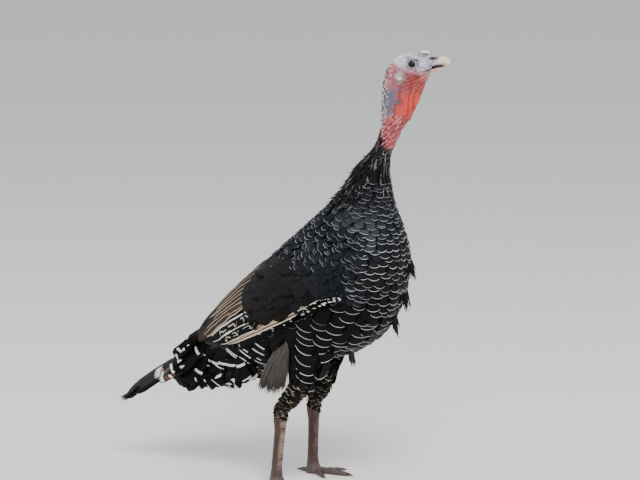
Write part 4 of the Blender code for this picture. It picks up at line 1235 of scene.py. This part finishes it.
def build_leg_coat(rng):
    def allowed(points, normals):
        forward, up = forward_up(points)
        front = step(-0.010, 0.014, forward - leg_forward(points))
        low = np.where(points[:, 0] > 0, 0.1165, 0.1215)
        return (up > low - 0.0095 * front) & (up < 0.196) & (leg_share(points) > 0.5)

    def spacing(points):
        return np.interp(points[:, 2], LEG_BANDS, (0.0040, 0.0052, 0.0075))

    roots, _ = LEGS.scattered(spacing, allowed, 13)
    size = np.interp(roots[:, 2], LEG_BANDS, (0.9, 1.1, 1.8))
    vanes = lay(LEGS, roots, body_flow, 0.0135 * size, 0.0036 * size, 0.0002, 0.0024, rng, 0.18, slack=0.0015)
    tones = (tone(19, 15, 13), 0.3)
    toned("coat_leg", vanes, vane_template("round", 0.0005, 7), tones, "black", rng)
    edged = vanes.pick((rng.random(len(vanes)) < 0.88) & (roots[:, 2] < 0.184))
    rims = strip_template([rim_strip(0.24, 64, 7, root_share=0.5)])
    tones = (tone(130, 120, 104), 0.30, tone(76, 68, 60), 0.40)
    toned("rims_leg", edged, rims, tones, "pale", rng)


def build_body_coat():
    rng = np.random.default_rng(101)
    build_neck_coat(rng)
    build_leg_coat(rng)

    heights = (0.05, 0.12, 0.22, 0.28, 0.34, 0.40, 0.47)
    gaps = (0.0150, 0.0135, 0.0130, 0.0115, 0.0088, 0.0072, 0.0060)

    def free(points):
        up = points[:, 2]
        return (up < 0.492) & (up > 0.118) & (leg_share(points) < 0.6)

    def on_back(points, normals):
        return (normals[:, 2] > 0.30) & (normals[:, 1] > -0.25) & (points[:, 2] > 0.21)

    def on_breast(points, normals):
        side = free(points) & ~on_back(points, normals) & (forward_of(points) > -0.080)
        return side & ~under_wing(points, normals)

    def on_mantle(points, normals):
        back = free(points) & on_back(points, normals) & (forward_of(points) > -0.132)
        return back & ~under_wing(points, normals)

    def breast_gap(points):
        return np.interp(flow_height(points), heights, gaps)

    def mantle_gap(points):
        return np.full(len(points), 0.0082)

    def round_body(points):
        return np.arctan2(points[:, 0], forward_of(points) + 0.02)

    def over_back(points):
        return np.arctan2(points[:, 0], 0.25 - forward_of(points))

    coats = {
        "breast": (on_breast, body_level(heights, gaps), breast_gap, round_body, 1.90),
        "mantle": (on_mantle, body_level((0, 1), (0.0088, 0.0088)), mantle_gap, over_back, 1.60),
    }
    laid = {}
    for name, (allowed, level, gap_at, turn, wide) in coats.items():
        roots, _ = BODY.in_rows(level, lambda p: gap_at(p) * wide, turn, allowed, 11)
        gap = gap_at(roots)
        vanes = lay(BODY, roots, body_flow, gap * 3.6, gap * wide * 0.66, 0.0044, 0.0004, rng, 0.06, 0.05)
        laid[name] = vanes
        tip_f, tip_z = vanes.tips()
        paint = shades(rng, len(vanes), BLACK, 0.12)
        # painted sheen: a blue cast over the shoulders and upper back
        blue_sheen = step(0.28, 0.40, tip_z) * step(-0.06, 0.06, tip_f)
        paint = mixed(paint, BLUE_BLACK, np.clip(blue_sheen, 0, 1) * 0.9)
        brown = bell(tip_z, 0.33, 0.03) * step(0.11, 0.15, tip_f)
        paint = mixed(paint, tone(28, 22, 21), 0.5 * brown)
        # painted sheen: a paler grey patch high on the front of the breast
        sheen = bell(tip_z, 0.392, 0.030) * step(0.085, 0.105, tip_f) * (1 - step(0.150, 0.175, tip_f))
        paint = mixed(paint, tone(66, 70, 78), 0.6 * sheen)
        dress("coat_" + name, vanes, vane_template("round", 0.0004), paint, "black")
    rim = strip_template([rim_strip(0.125, 64)])
    for name, chance, strength in (("breast", 0.95, 1.0), ("mantle", 0.85, 0.55)):
        vanes = laid[name]
        tip_f, tip_z = vanes.tips()
        plain = (1 - step(0.040, 0.052, tip_f)) * (1 - step(0.30, 0.32, tip_z))
        shown = (rng.random(len(vanes)) < chance * (1 - 0.93 * plain)) & (tip_f > -0.10)
        # the silver edges are the feathers' own markings; their extra brightness around 0.38 m up the breast
        # is a painted highlight
        level = np.interp(tip_z, (0.20, 0.30, 0.38, 0.44), (0.95, 0.62, 1.20, 0.60)) * strength
        part = vanes.pick(shown)
        paint = shades(rng, len(part), SILVER, 0.28) * level[shown, None]
        dress("lacing_" + name, part, rim, paint, "pale")
    vanes = laid["breast"]
    tip_f, tip_z = vanes.tips()
    vent = (tip_f < -0.022) & (tip_f > -0.100) & (tip_z < 0.232)
    vanes = vanes.pick(vent & (rng.random(len(vanes)) < 0.75))
    ticks = strip_template([bar_strip(0.925, 0.985, 0.62)])
    toned("bars_vent", vanes, ticks, (WHITE * 0.8, 0.15), "pale", rng)


# ---- the wings ----------------------------------------------------------------------------------
COVERT_FOCUS = np.array((0.105, 0.350))
# The edge of the smooth patch of coverts, from its upper rear round to the wrist.
COVERT_EDGE = np.array(
    ((-0.030, 0.345), (-0.055, 0.318), (-0.054, 0.292), (-0.040, 0.272))
    + ((0.000, 0.264), (0.050, 0.288), (0.100, 0.312), (0.118, 0.326))
)


def on_flank(label, spots, lift):
    """The points over the wing's quills at these (forward, up) places, with its normals."""
    side = SIDES[label]
    found, normals = [], []
    for spot in spots:
        hit, normal = FLANK[label].tree.ray_cast(Vector(place(side * 0.3, *spot)), Vector((-side, 0, 0)))[:2]
        if hit is None:
            hit, normal = FLANK[label].tree.find_nearest(Vector(place(side * 0.07, *spot)))[:2]
        facing = unit(np.array(normal) + np.array((0.5 * side, 0.0, 0.10)))
        found.append(np.array(hit) + facing * lift)
        normals.append(facing)
    return np.array(found), np.array(normals)


def long_vanes(label, specs):
    """Long feathers from specs: root, middle and tip as (forward, up), half width, and lift."""
    lines, normals, half = [], [], []
    for root, middle, tip, width, lift in specs:
        spots, facing = on_flank(label, (root, middle, tip), lift)
        lines.append(spots)
        normals.append(facing)
        half.append(width)
    return Vanes(np.array(lines), np.array(normals), np.array(half), QUILL_CAMBER)


def fan(count, first, last, widths, lifts):
    """Specs for a row of feathers between a first and a last one."""
    specs = []
    for i in range(count):
        s = i / max(1, count - 1)
        spots = [tuple(np.array(a) * (1 - s) + np.array(b) * s) for a, b in zip(first, last)]
        specs.append((*spots, widths[0] * (1 - s) + widths[1] * s, lifts[0] * (1 - s) + lifts[1] * s))
    return specs


def covert_rows(length, gap, row_gap, rng):
    """Roots for the smooth patch: rows of coverts whose tips follow its edge, the outermost first."""
    offsets = COVERT_EDGE - COVERT_FOCUS
    angles = np.unwrap(np.arctan2(-offsets[:, 1], -offsets[:, 0]))
    reach = np.hypot(offsets[:, 0], offsets[:, 1])
    order = np.argsort(angles)
    roots, sizes = [], []
    for row in range(9):
        angle = angles.min()
        while angle < angles.max():
            edge = np.interp(angle, angles[order], reach[order])
            tip = edge - row * row_gap - rng.uniform(0, 0.002)
            size = min(length, max(0.022, tip * 0.62))
            if tip > 0.036:
                away = tip - 0.92 * size
                roots.append(COVERT_FOCUS - away * np.array((math.cos(angle), math.sin(angle))))
                sizes.append(size)
            angle += gap / max(tip, 0.035) * rng.uniform(0.9, 1.1)
    return np.array(roots), np.array(sizes)


def quill_marks(name, label, vanes, strips, tones, rng):
    """Raised pale marks on the long feathers of one wing."""
    template = strip_template(strips, *QUILL_MARK)
    toned(name + label, vanes, template, tones, "pale", rng, SIDES[label] > 0)


def build_primaries(label, rng):
    """Black feathers along the lower edge of the wing, each with two broken rows of pale flecks."""
    vanes = long_vanes(label, fan(
        4,
        ((0.124, 0.332), (0.046, 0.2800), (-0.055, 0.222)),
        ((0.126, 0.323), (0.048, 0.2740), (-0.068, 0.207)),
        (0.0075, 0.0060), (0.0026, 0.0016),
    ))
    template = vane_template("long", 0.0007)
    toned("primaries_" + label, vanes, template, (BLACK, 0.12), "black", rng)

    def fleck(t, low, wide):
        """A short dash that crosses part of the vane on the slant."""
        slant, half = rng.uniform(-0.030, -0.010), rng.uniform(0.006, 0.012)
        middle = [(t + slant * u, low + wide * u) for u in (0, 0.5, 1)]
        return [((at + half, y), (at - half, y)) for at, y in middle]

    for k, vane in enumerate(("first", "second", "third", "fourth")):
        shown = []
        for t in np.arange(0.05, 0.88, 0.058):
            for low in (rng.uniform(-0.95, -0.55), rng.uniform(0.0, 0.35)):
                if rng.random() < 0.62:
                    shown.append(fleck(t + rng.uniform(-0.014, 0.014), low, rng.uniform(0.26, 0.58)))
        one = vanes.pick(np.arange(4) == k)
        quill_marks(f"flecks_{vane}_", label, one, shown, (tone(208, 206, 200), 0.12), rng)


def build_secondaries(label, rng):
    """Two black feathers edged with white, and below them two mauve ones with cream lines."""
    template = vane_template("long", 0.0008)
    mauve = long_vanes(label, [
        ((0.100, 0.3120), (0.037, 0.2790), (-0.022, 0.2490), 0.0050, 0.0036),
        ((0.060, 0.2850), (-0.010, 0.2530), (-0.086, 0.2170), 0.0074, 0.0032),
    ])
    toned("mauve_secondaries_" + label, mauve, template, (MAUVE_BROWN, 0.1), "brown", rng)
    lines = [
        line_strip(0.66, 0.98, 0.10, 0.97, 9, wobble=0.05, seed=7),
        line_strip(-0.98, -0.70, 0.10, 0.97, 9, wobble=0.05, seed=8),
        line_strip(0.10, 0.30, 0.30, 0.93, 8, wobble=0.08, seed=9),
    ]
    quill_marks("mauve_lines_", label, mauve, lines, (tone(206, 190, 164), 0.12), rng)
    black = long_vanes(label, [
        ((0.030, 0.2800), (-0.034, 0.2500), (-0.104, 0.2145), 0.0085, 0.0030),
        ((0.010, 0.2880), (-0.050, 0.2580), (-0.122, 0.2145), 0.0090, 0.0034),
    ])
    toned("secondaries_" + label, black, template, (BLACK, 0.1), "black", rng)

    def curl(start, end, low, high):
        """A thin line that winds between two shares of the half width."""
        turns, phase, thick = rng.uniform(5, 8), rng.uniform(0, 6), rng.uniform(0.05, 0.11)
        strip = []
        for u in np.linspace(0, 1, 12):
            y = low + (high - low) * (0.5 + 0.5 * math.sin(turns * u + 1.3 * math.sin(5 * u + phase) + phase))
            t = start + (end - start) * (u + 0.10 * math.sin(9 * u + phase))
            strip.append(((t + 0.004, y + thick), (t - 0.004, y - thick)))
        return strip

    for k, parts in enumerate(((0.42, 0.58, 0.66, 0.74, 0.78, 0.88), (0.40, 0.50, 0.56, 0.68, 0.72, 0.84))):
        curls = [curl(parts[i], parts[i + 1], -0.30, 0.50) for i in (0, 2, 4)]
        one = black.pick(np.arange(2) == k)
        quill_marks(f"white_curls_{k}_", label, one, curls, (tone(196, 190, 178), 0.12), rng)
    edges = [
        line_strip(-0.98, -0.66, 0.10, 0.93, 12, wobble=0.08, seed=3),
        line_strip(0.80, 0.96, 0.46, 0.95, 12, wobble=0.08, seed=5),
    ]
    quill_marks("white_lines_", label, black, edges, (tone(216, 210, 196), 0.12), rng)


def build_tertials(label, rng):
    """The upper fan, brown with cream edges, from under the coverts to one point at the rump."""
    vanes = long_vanes(label, fan(
        8,
        ((-0.020, 0.296), (-0.078, 0.2620), (-0.146, 0.2115)),
        ((-0.018, 0.347), (-0.083, 0.2990), (-0.150, 0.2220)),
        (0.0080, 0.0110), (0.0040, 0.0034),
    ))
    template = vane_template("long", 0.0008)
    toned("tertials_" + label, vanes, template, (tone(46, 33, 28), 0.25), "brown", rng)
    for k in range(len(vanes)):
        lines = [
            line_strip(0.62, 0.97, 0.10, rng.uniform(0.86, 0.97), 14, wobble=0.13, seed=21 + k),
            line_strip(-0.97, -0.80, 0.14, rng.uniform(0.70, 0.92), 12, wobble=0.09, seed=31 + k),
            line_strip(0.12, 0.30, 0.20, rng.uniform(0.40, 0.58), 8, wobble=0.10, seed=41 + k),
            line_strip(-0.28, -0.12, rng.uniform(0.42, 0.55), 0.90, 8, wobble=0.10, seed=51 + k),
        ]
        one = vanes.pick(np.arange(len(vanes)) == k)
        quill_marks(f"tertial_lines_{k}_", label, one, lines, (BUFF * 0.66, 0.20), rng)


def covert_flow(points):
    """Over the wing, away from the focus of the smooth patch."""
    away = unit(np.stack(forward_up(points), axis=1) - COVERT_FOCUS)
    return np.stack((np.zeros(len(points)), -away[:, 0], away[:, 1]), axis=1)


def build_coverts(label, rng):
    """One smooth brown-black patch, the front of it blue-black, and a few pale streaks on it that are a
    painted highlight.
    """
    side = SIDES[label]
    spots, sizes = covert_rows(0.060, 0.0170, 0.0180, rng)
    roots = np.array([place(side * 0.11, *spot) for spot in spots])
    for i, spot in enumerate(spots):
        hit = WING_TREE[label].ray_cast(Vector(place(side * 0.3, *spot)), Vector((-side, 0, 0)))[0]
        if hit is not None:
            roots[i] = hit
    great = lay(WING[label], roots, covert_flow, sizes, sizes * 0.30, 0.0004, 0.0024, rng, 0.02, 0.02)
    paint = shades(rng, len(great), BROWN_BLACK, 0.12)
    front = step(0.01, 0.06, great.tips()[0])
    paint = mixed(paint, tone(14, 16, 21), front * 0.9)
    dress("coverts_" + label, great, vane_template("round", 0.0004), paint, "brown")
    # painted highlight: a few thin pale streaks on the coverts
    streaks = [place(side * 0.08, -0.006 - 0.0035 * k, 0.3560 - 0.003 * abs(k - 2)) for k in range(6)]
    glints = lay(WING[label], np.array(streaks), covert_flow, 0.022, 0.0011, -0.0030, 0.0036, rng, 0.15, 0.02)
    tones = (tone(120, 118, 120), 0.2)
    toned("highlight_streaks_" + label, glints, vane_template("point", 0.0003), tones, "pale", rng)


def even(gap):
    """A spacing that is the same everywhere."""
    return lambda points: np.full(len(points), gap)


def steady_flow(back, up):
    """A flow with one heading everywhere."""
    return lambda points: np.tile(unit(np.array((0.0, back, up))), (len(points), 1))


def build_lesser_coverts(label, rng):
    """The small blue-black feathers of the shoulder, with silver edges."""
    side = SIDES[label]
    shoulder = Surface(["wing_shoulder_" + label, "wing_coverts_" + label, "breast"], 0.0030, 12)

    def allowed(points, normals):
        forward, up = forward_up(points)
        low_edge = 0.342 + 0.16 * np.clip(0.06 - forward, 0, 1)
        inside = (forward > -0.02) & (forward < 0.146) & (up > low_edge) & (up < 0.392)
        return inside & (normals[:, 0] * side > -0.3) & (points[:, 0] * side > 0.060)

    roots, _ = shoulder.scattered(even(0.0066), allowed, 43)
    flow = steady_flow(0.84, -0.54)
    vanes = lay(shoulder, roots, flow, 0.0190, 0.0062, 0.0014, 0.0012, rng, 0.16, 0.08, 0.012)
    template, tones = vane_template("round", 0.0004, 7), (tone(27, 29, 34), 0.2)
    toned("lesser_coverts_" + label, vanes, template, tones, "black", rng)
    edged = vanes.pick((rng.random(len(vanes)) < 0.80) & (vanes.tips()[1] > 0.346))
    rims = strip_template([rim_strip(0.16, 56, 7)])
    toned("lacing_wing_" + label, edged, rims, (SILVER * 0.50, 0.40), "pale", rng)


def build_cape(label, rng):
    """Feathers of the breast's side that lap over the front of the folded wing."""
    side = SIDES[label]
    names = ["breast", "neck_feathered", "wing_shoulder_" + label, "wing_coverts_" + label]
    cape = Surface(names, 0.0040, 30)

    def allowed(points, normals):
        forward, up = forward_up(points)
        front = (forward > 0.106) & (forward < 0.152)
        return front & (up > 0.318) & (up < 0.420) & (points[:, 0] * side > 0.042)

    roots, _ = cape.scattered(even(0.0085), allowed, 47)
    flow = steady_flow(0.50, -0.86)
    vanes = lay(cape, roots, flow, 0.030, 0.0085, 0.0010, 0.0018, rng, 0.10, 0.05, 0.012)
    # painted sheen: the cape takes the blue black of the shoulders' sheen
    tones = (BLUE_BLACK * 1.1, 0.12)
    toned("cape_" + label, vanes, vane_template("round", 0.0004), tones, "black", rng)
    tip_f, tip_z = vanes.tips()
    edged = vanes.pick((tip_z > 0.372) | (tip_f > 0.126))
    rims = strip_template([rim_strip(0.13, 60, 8)])
    toned("lacing_cape_" + label, edged, rims, (SILVER * 0.5, 0.3), "pale", rng)


def build_wing(label):
    """The layers of one folded wing, each over the one before."""
    rng = np.random.default_rng(300 + SIDES[label])
    build_primaries(label, rng)
    build_secondaries(label, rng)
    build_tertials(label, rng)
    build_coverts(label, rng)
    build_lesser_coverts(label, rng)
    build_cape(label, rng)
    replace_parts(bpy.data.objects["coverts_" + label], "wing_coverts_" + label)
    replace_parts(bpy.data.objects["lesser_coverts_" + label], "wing_shoulder_" + label)
    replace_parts(bpy.data.objects["secondaries_" + label], "wing_secondaries_" + label)
    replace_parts(bpy.data.objects["primaries_" + label], "wing_primaries_" + label)


# ---- the tail -----------------------------------------------------------------------------------
def tail_vanes(specs):
    """Feathers from root and tip as (side, forward, up), their roll to the side, and half width."""
    lines, normals, half = [], [], []
    for root, tip, roll, width in specs:
        a, b = place(*root), place(*tip)
        middle = (a + b) / 2 + np.array((0, 0, 0.003))
        lines.append((a, middle, b))
        up = unit(np.array((math.sin(roll), 0.25, math.cos(roll))))
        normals.append((up, up, up))
        half.append(width)
    return Vanes(np.array(lines), np.array(normals), np.array(half), 0.08)


def build_tail():
    rng = np.random.default_rng(500)
    quills = []
    for i in range(16):
        s = i / 15 * 2 - 1
        out = 0.038 * s
        quills.append((
            (out * 0.4, -0.115, 0.203 + 0.004 * (1 - abs(s))),
            (out, -0.240 + 0.018 * abs(s), 0.143 + 0.006 * (1 - abs(s)) + 0.0005 * i),
            0.75 * s, 0.0135,
        ))
    tail = tail_vanes(quills)
    # the long feathers that pass the rest, frayed at the tip
    long = tail_vanes([
        ((-0.020, -0.175, 0.186), (-0.004, -0.303, 0.1050), -0.85, 0.0150),
        ((-0.0200, -0.179, 0.180), (-0.0065, -0.286, 0.1120), -0.85, 0.0150),
    ])

    def bars(*spans):
        return strip_template([bar_strip(*span) for span in spans], *TAIL_MARK)

    square, slim = (vane_template(kind, 0.0010) for kind in ("square", "long"))
    rufous = bars((0.885, 0.925, 0.9), (0.79, 0.82, 0.9))
    bands = bars((0.830, 0.872, 0.9), (0.940, 0.995, 0.80))
    toned("tail_quills", tail, square, (tone(44, 32, 29), 0.15), "brown", rng)
    toned("tail_rufous", tail, rufous, (tone(104, 66, 50), 0.1), "pale", rng)
    toned("tail_bands", tail, bands, (tone(206, 200, 186), 0.1), "pale", rng)
    toned("tail_long", long, slim, (tone(24, 16, 14), 0.1), "brown", rng)
    toned("tail_long_band", long, bars((0.45, 0.56, 0.60)), (tone(204, 202, 192), 0.05), "pale", rng)
    bundle(
        "tail_frayed", [place(-0.007, -0.278, 0.1200)], [place(-0.003, -0.313, 0.0985)], 0.0042, 16, 0.0022,
        tone(24, 16, 14), "brown", rng, np.array((-0.7, 0.2, 0.7)),
    )
    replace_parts(bpy.data.objects["tail_long"], "tail_long_feather")
    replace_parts(bpy.data.objects["tail_quills"], "tail")
    build_rear_coat(rng)


REAR_FOCUS = np.array((-0.100, 0.262))
REAR_LONG = 0.044  # length of an upper covert
REAR_GAP = 0.0175  # between rows of bars
REAR_FIRST = 0.013  # from the focus to the first row of roots
BAR_PITCH = 0.0185  # between bars along a row


def rear_offset(points):
    return np.stack(forward_up(points), axis=1) - REAR_FOCUS


def rear_flow(points):
    """Away from a focus on the rump, turning back near the lower edge."""
    away = unit(rear_offset(points) + np.array((-1e-4, 0)))
    low = step(0.30, 0.75, -np.interp(points[:, 2], (0.135, 0.160), (-1, 0)))[:, None]
    away = unit(away * (1 - low) + np.array((-0.9, -0.3)) * low)
    return np.stack((0.06 * np.sign(points[:, 0]), -away[:, 0], away[:, 1]), axis=1)


def build_rear_coat(rng):
    """The barred feathers of the rump and of both sets of tail coverts."""

    def allowed(points, normals):
        forward, away = forward_of(points), rear_offset(points)
        facing = np.arctan2(-away[:, 1], -away[:, 0])
        on_top = (normals[:, 2] > 0.35) & (forward < -0.100)
        on_side = (normals[:, 2] <= 0.35) & (facing > 0.10) & (forward < -0.074)
        shown = (forward > -0.176) & (normals[:, 2] > -0.62) & ~under_wing(points, normals)
        return shown & (on_top | on_side)

    def below(points, normals):
        forward = forward_of(points)
        return (forward < -0.070) & (forward > -0.172) & (normals[:, 2] < -0.50)

    def reach(points):
        return np.linalg.norm(rear_offset(points), axis=1)

    def level(points):
        return (reach(points) - REAR_FIRST) / REAR_GAP

    def pitch(points):
        fanned = reach(points) / (reach(points) + 0.9 * REAR_LONG)
        return BAR_PITCH * np.where(np.abs(points[:, 0]) < 0.022, 1.0, np.maximum(fanned, 0.35))

    def turn(points):
        away = rear_offset(points)
        return 10 * points[:, 0] + np.sign(points[:, 0]) * np.arctan2(-away[:, 1], -away[:, 0])

    upper, _ = REAR.in_rows(level, pitch, turn, allowed, 51)
    under, _ = REAR.scattered(even(0.0125), below, 52)
    bars = strip_template([bar_strip(0.870, 0.980, 0.84)], MARK_LIFT * 2, MARK_THICK * 2)
    for name, roots, long, share in (("upper", upper, REAR_LONG, 0.96), ("under", under, 0.034, 0.30)):
        part = lay(REAR, roots, rear_flow, long, 0.0110, 0.0046, 0.0001, rng, 0.05, 0.05, 0.030)
        side = part.line[:, :, 0]
        part.normals[:, :, 0] += 0.5 * np.sign(side) * step(0.010, 0.024, np.abs(side))
        part.normals = unit(part.normals)
        paint = shades(rng, len(part), BLACK, 0.12)
        vanes = vane_template("round", 0.0004)
        coat = dress("coat_tail_" + name, part, vanes, paint, "black")
        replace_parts(coat, "tail_coverts_" + name)
        tip_f, tip_z = part.tips()
        seen = (tip_z < 0.226) & ((tip_f > -0.158) | (tip_z > 0.158))
        part = part.pick((rng.random(len(part)) < share) & seen)
        toned("bars_tail_" + name, part, bars, (WHITE * 0.95, 0.10), "pale", rng)


# ---- down, tufts and bristles -------------------------------------------------------------------
def bundle(name, roots, tips, spread, count, half, paint, vane, rng, facing):
    """Thin ragged vanes from a root to a tip, spread round both."""
    lines, normals = [], []
    for root, tip in zip(roots, tips):
        for _ in range(count):
            a = root + rng.normal(0, spread * 0.5, 3)
            b = root + (tip - root) * rng.uniform(0.72, 1.0) + rng.normal(0, spread, 3)
            middle = (a + b) / 2 + rng.normal(0, spread * 0.4, 3)
            lines.append((a, middle, b))
            n = unit(facing + rng.normal(0, 0.25, 3))
            normals.append((n, n, n))
    lines = np.array(lines)
    vanes = Vanes(lines, np.array(normals), half * rng.uniform(0.7, 1.2, len(lines)), 0.05)
    return toned(name, vanes, vane_template("point", 0.0005), (paint, 0.25), vane, rng)


def build_tufts():
    rng = np.random.default_rng(700)
    for label, side in SIDES.items():
        roots, tips = [], []
        for s in np.linspace(0, 1, 18):
            roots.append(place(side * (0.070 - 0.010 * s), 0.022 - 0.026 * s, 0.230 - 0.020 * s))
            tips.append(place(side * (0.060 - 0.006 * s), 0.010 - 0.046 * s, 0.150 - 0.006 * math.sin(3 * s)))
        down = bundle(
            "down_flank_" + label, roots, tips, 0.0028, 44, 0.0010, tone(62, 56, 53), "down", rng,
            np.array((side * 0.9, -0.2, 0.1)),
        )
        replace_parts(down, "flank_down_" + label)
    tufts = {
        "breast_tuft_upper": ((0.020, 0.176, 0.3720), (0.025, 0.1895, 0.3240)),
        "breast_tuft_middle": ((0.018, 0.172, 0.3250), (0.021, 0.1810, 0.2740)),
        "breast_tuft_lower": ((0.010, 0.156, 0.2860), (0.012, 0.1690, 0.2370)),
        "belly_tuft": ((0.000, 0.090, 0.2300), (0.000, 0.1000, 0.1870)),
    }
    for name, (root, tip) in tufts.items():
        paint = tone(56, 50, 47) if name == "belly_tuft" else tone(20, 13, 12)
        piece = bundle(
            "ragged_" + name, [place(*root)], [place(*tip)], 0.0030, 26, 0.0017, paint, "brown",
            rng, np.array((-0.88, -0.47, 0.2)),
        )
        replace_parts(piece, name)


def build_ruff(rng):
    """Loose hackles that stand off the back of the neck where it meets the shoulders."""
    neck = Surface(["neck_feathered", "breast"], 0.0050, 20)

    def behind(points, normals):
        up = points[:, 2]
        return (up > 0.452) & (up < 0.520) & (normals[:, 1] > -0.10)

    roots, _ = neck.scattered(even(0.0066), behind, 61)
    loose = lay(neck, roots, body_flow, 0.027, 0.0034, -0.0002, 0.0044, rng, 0.34, 0.10, 0.010)
    tones = (tone(20, 18, 20), 0.3, tone(84, 77, 76), 0.10)
    toned("ruff", loose, vane_template("point", 0.0004), tones, "black", rng)


build_skin()
build_bill()
build_claws()
build_eyes()
build_underlayer()
build_body_coat()
for label in SIDES:
    build_wing(label)
build_tail()
build_tufts()
build_ruff(np.random.default_rng(900))


# ---- studio -------------------------------------------------------------------------------------
CAMERA_AZIMUTH = math.radians(-62)
CAMERA_ELEVATION = math.radians(13)
CAMERA_AWAY = 4.5
CAMERA_LENS = 162.7


def build_camera():
    """13 degrees above the feet, 4.5 m off, aimed so that the near foot leaves the lower edge."""
    back = Vector((
        math.sin(CAMERA_AZIMUTH) * math.cos(CAMERA_ELEVATION),
        -math.cos(CAMERA_AZIMUTH) * math.cos(CAMERA_ELEVATION),
        math.sin(CAMERA_ELEVATION),
    ))
    right = Vector((math.cos(CAMERA_AZIMUTH), math.sin(CAMERA_AZIMUTH), 0))
    above = back.cross(right)
    aim = (-back + right * 0.00833 + above * 0.08264).normalized()
    right = aim.cross(above).normalized()
    above = right.cross(aim)
    camera = bpy.data.cameras.new("camera")
    camera.sensor_width = 36
    camera.lens = CAMERA_LENS
    item = add_item("camera", camera)
    item.matrix_world = Matrix.Translation(Vector(place(0, 0, 0)) + back * CAMERA_AWAY) @ Matrix(
        (right, above, -aim)
    ).transposed().to_4x4()
    bpy.context.scene.camera = item


def add_area(name, where, size, power, colour=(1, 1, 1)):
    light = bpy.data.lights.new(name, "AREA")
    light.size = size
    light.energy = power
    light.color = colour
    item = add_item(name, light)
    item.location = where
    item.rotation_euler = (Vector((0, 0, 0.35)) - Vector(where)).to_track_quat("-Z", "Y").to_euler()


def build_studio():
    mesh = bpy.data.meshes.new("floor")
    reach = 12.0
    corners = [(-reach, -reach, 0), (reach, -reach, 0), (reach, reach, 0), (-reach, reach, 0)]
    mesh.from_pydata(corners, [], [(0, 1, 2, 3)])
    floor = add_item("floor", mesh)
    material, shader = new_material("floor_paint", 0.9, 0.2)
    shader.inputs["Base Color"].default_value = (0.80, 0.78, 0.75, 1)
    mesh.materials.append(material)
    add_area("key", (-2.2, -1.6, 3.2), 1.6, 175, (1.0, 0.98, 0.95))
    add_area("fill", (-1.2, 3.0, 1.8), 2.5, 45, (0.93, 0.96, 1.0))
    add_area("front", (1.5, -3.2, 1.6), 2.0, 40, (0.97, 0.98, 1.0))
    world = bpy.data.worlds.new("world")
    bpy.context.scene.world = world
    world.use_nodes = True
    world.node_tree.nodes["Background"].inputs["Color"].default_value = (0.86, 0.90, 0.96, 1)
    world.node_tree.nodes["Background"].inputs["Strength"].default_value = 0.90


build_camera()
build_studio()
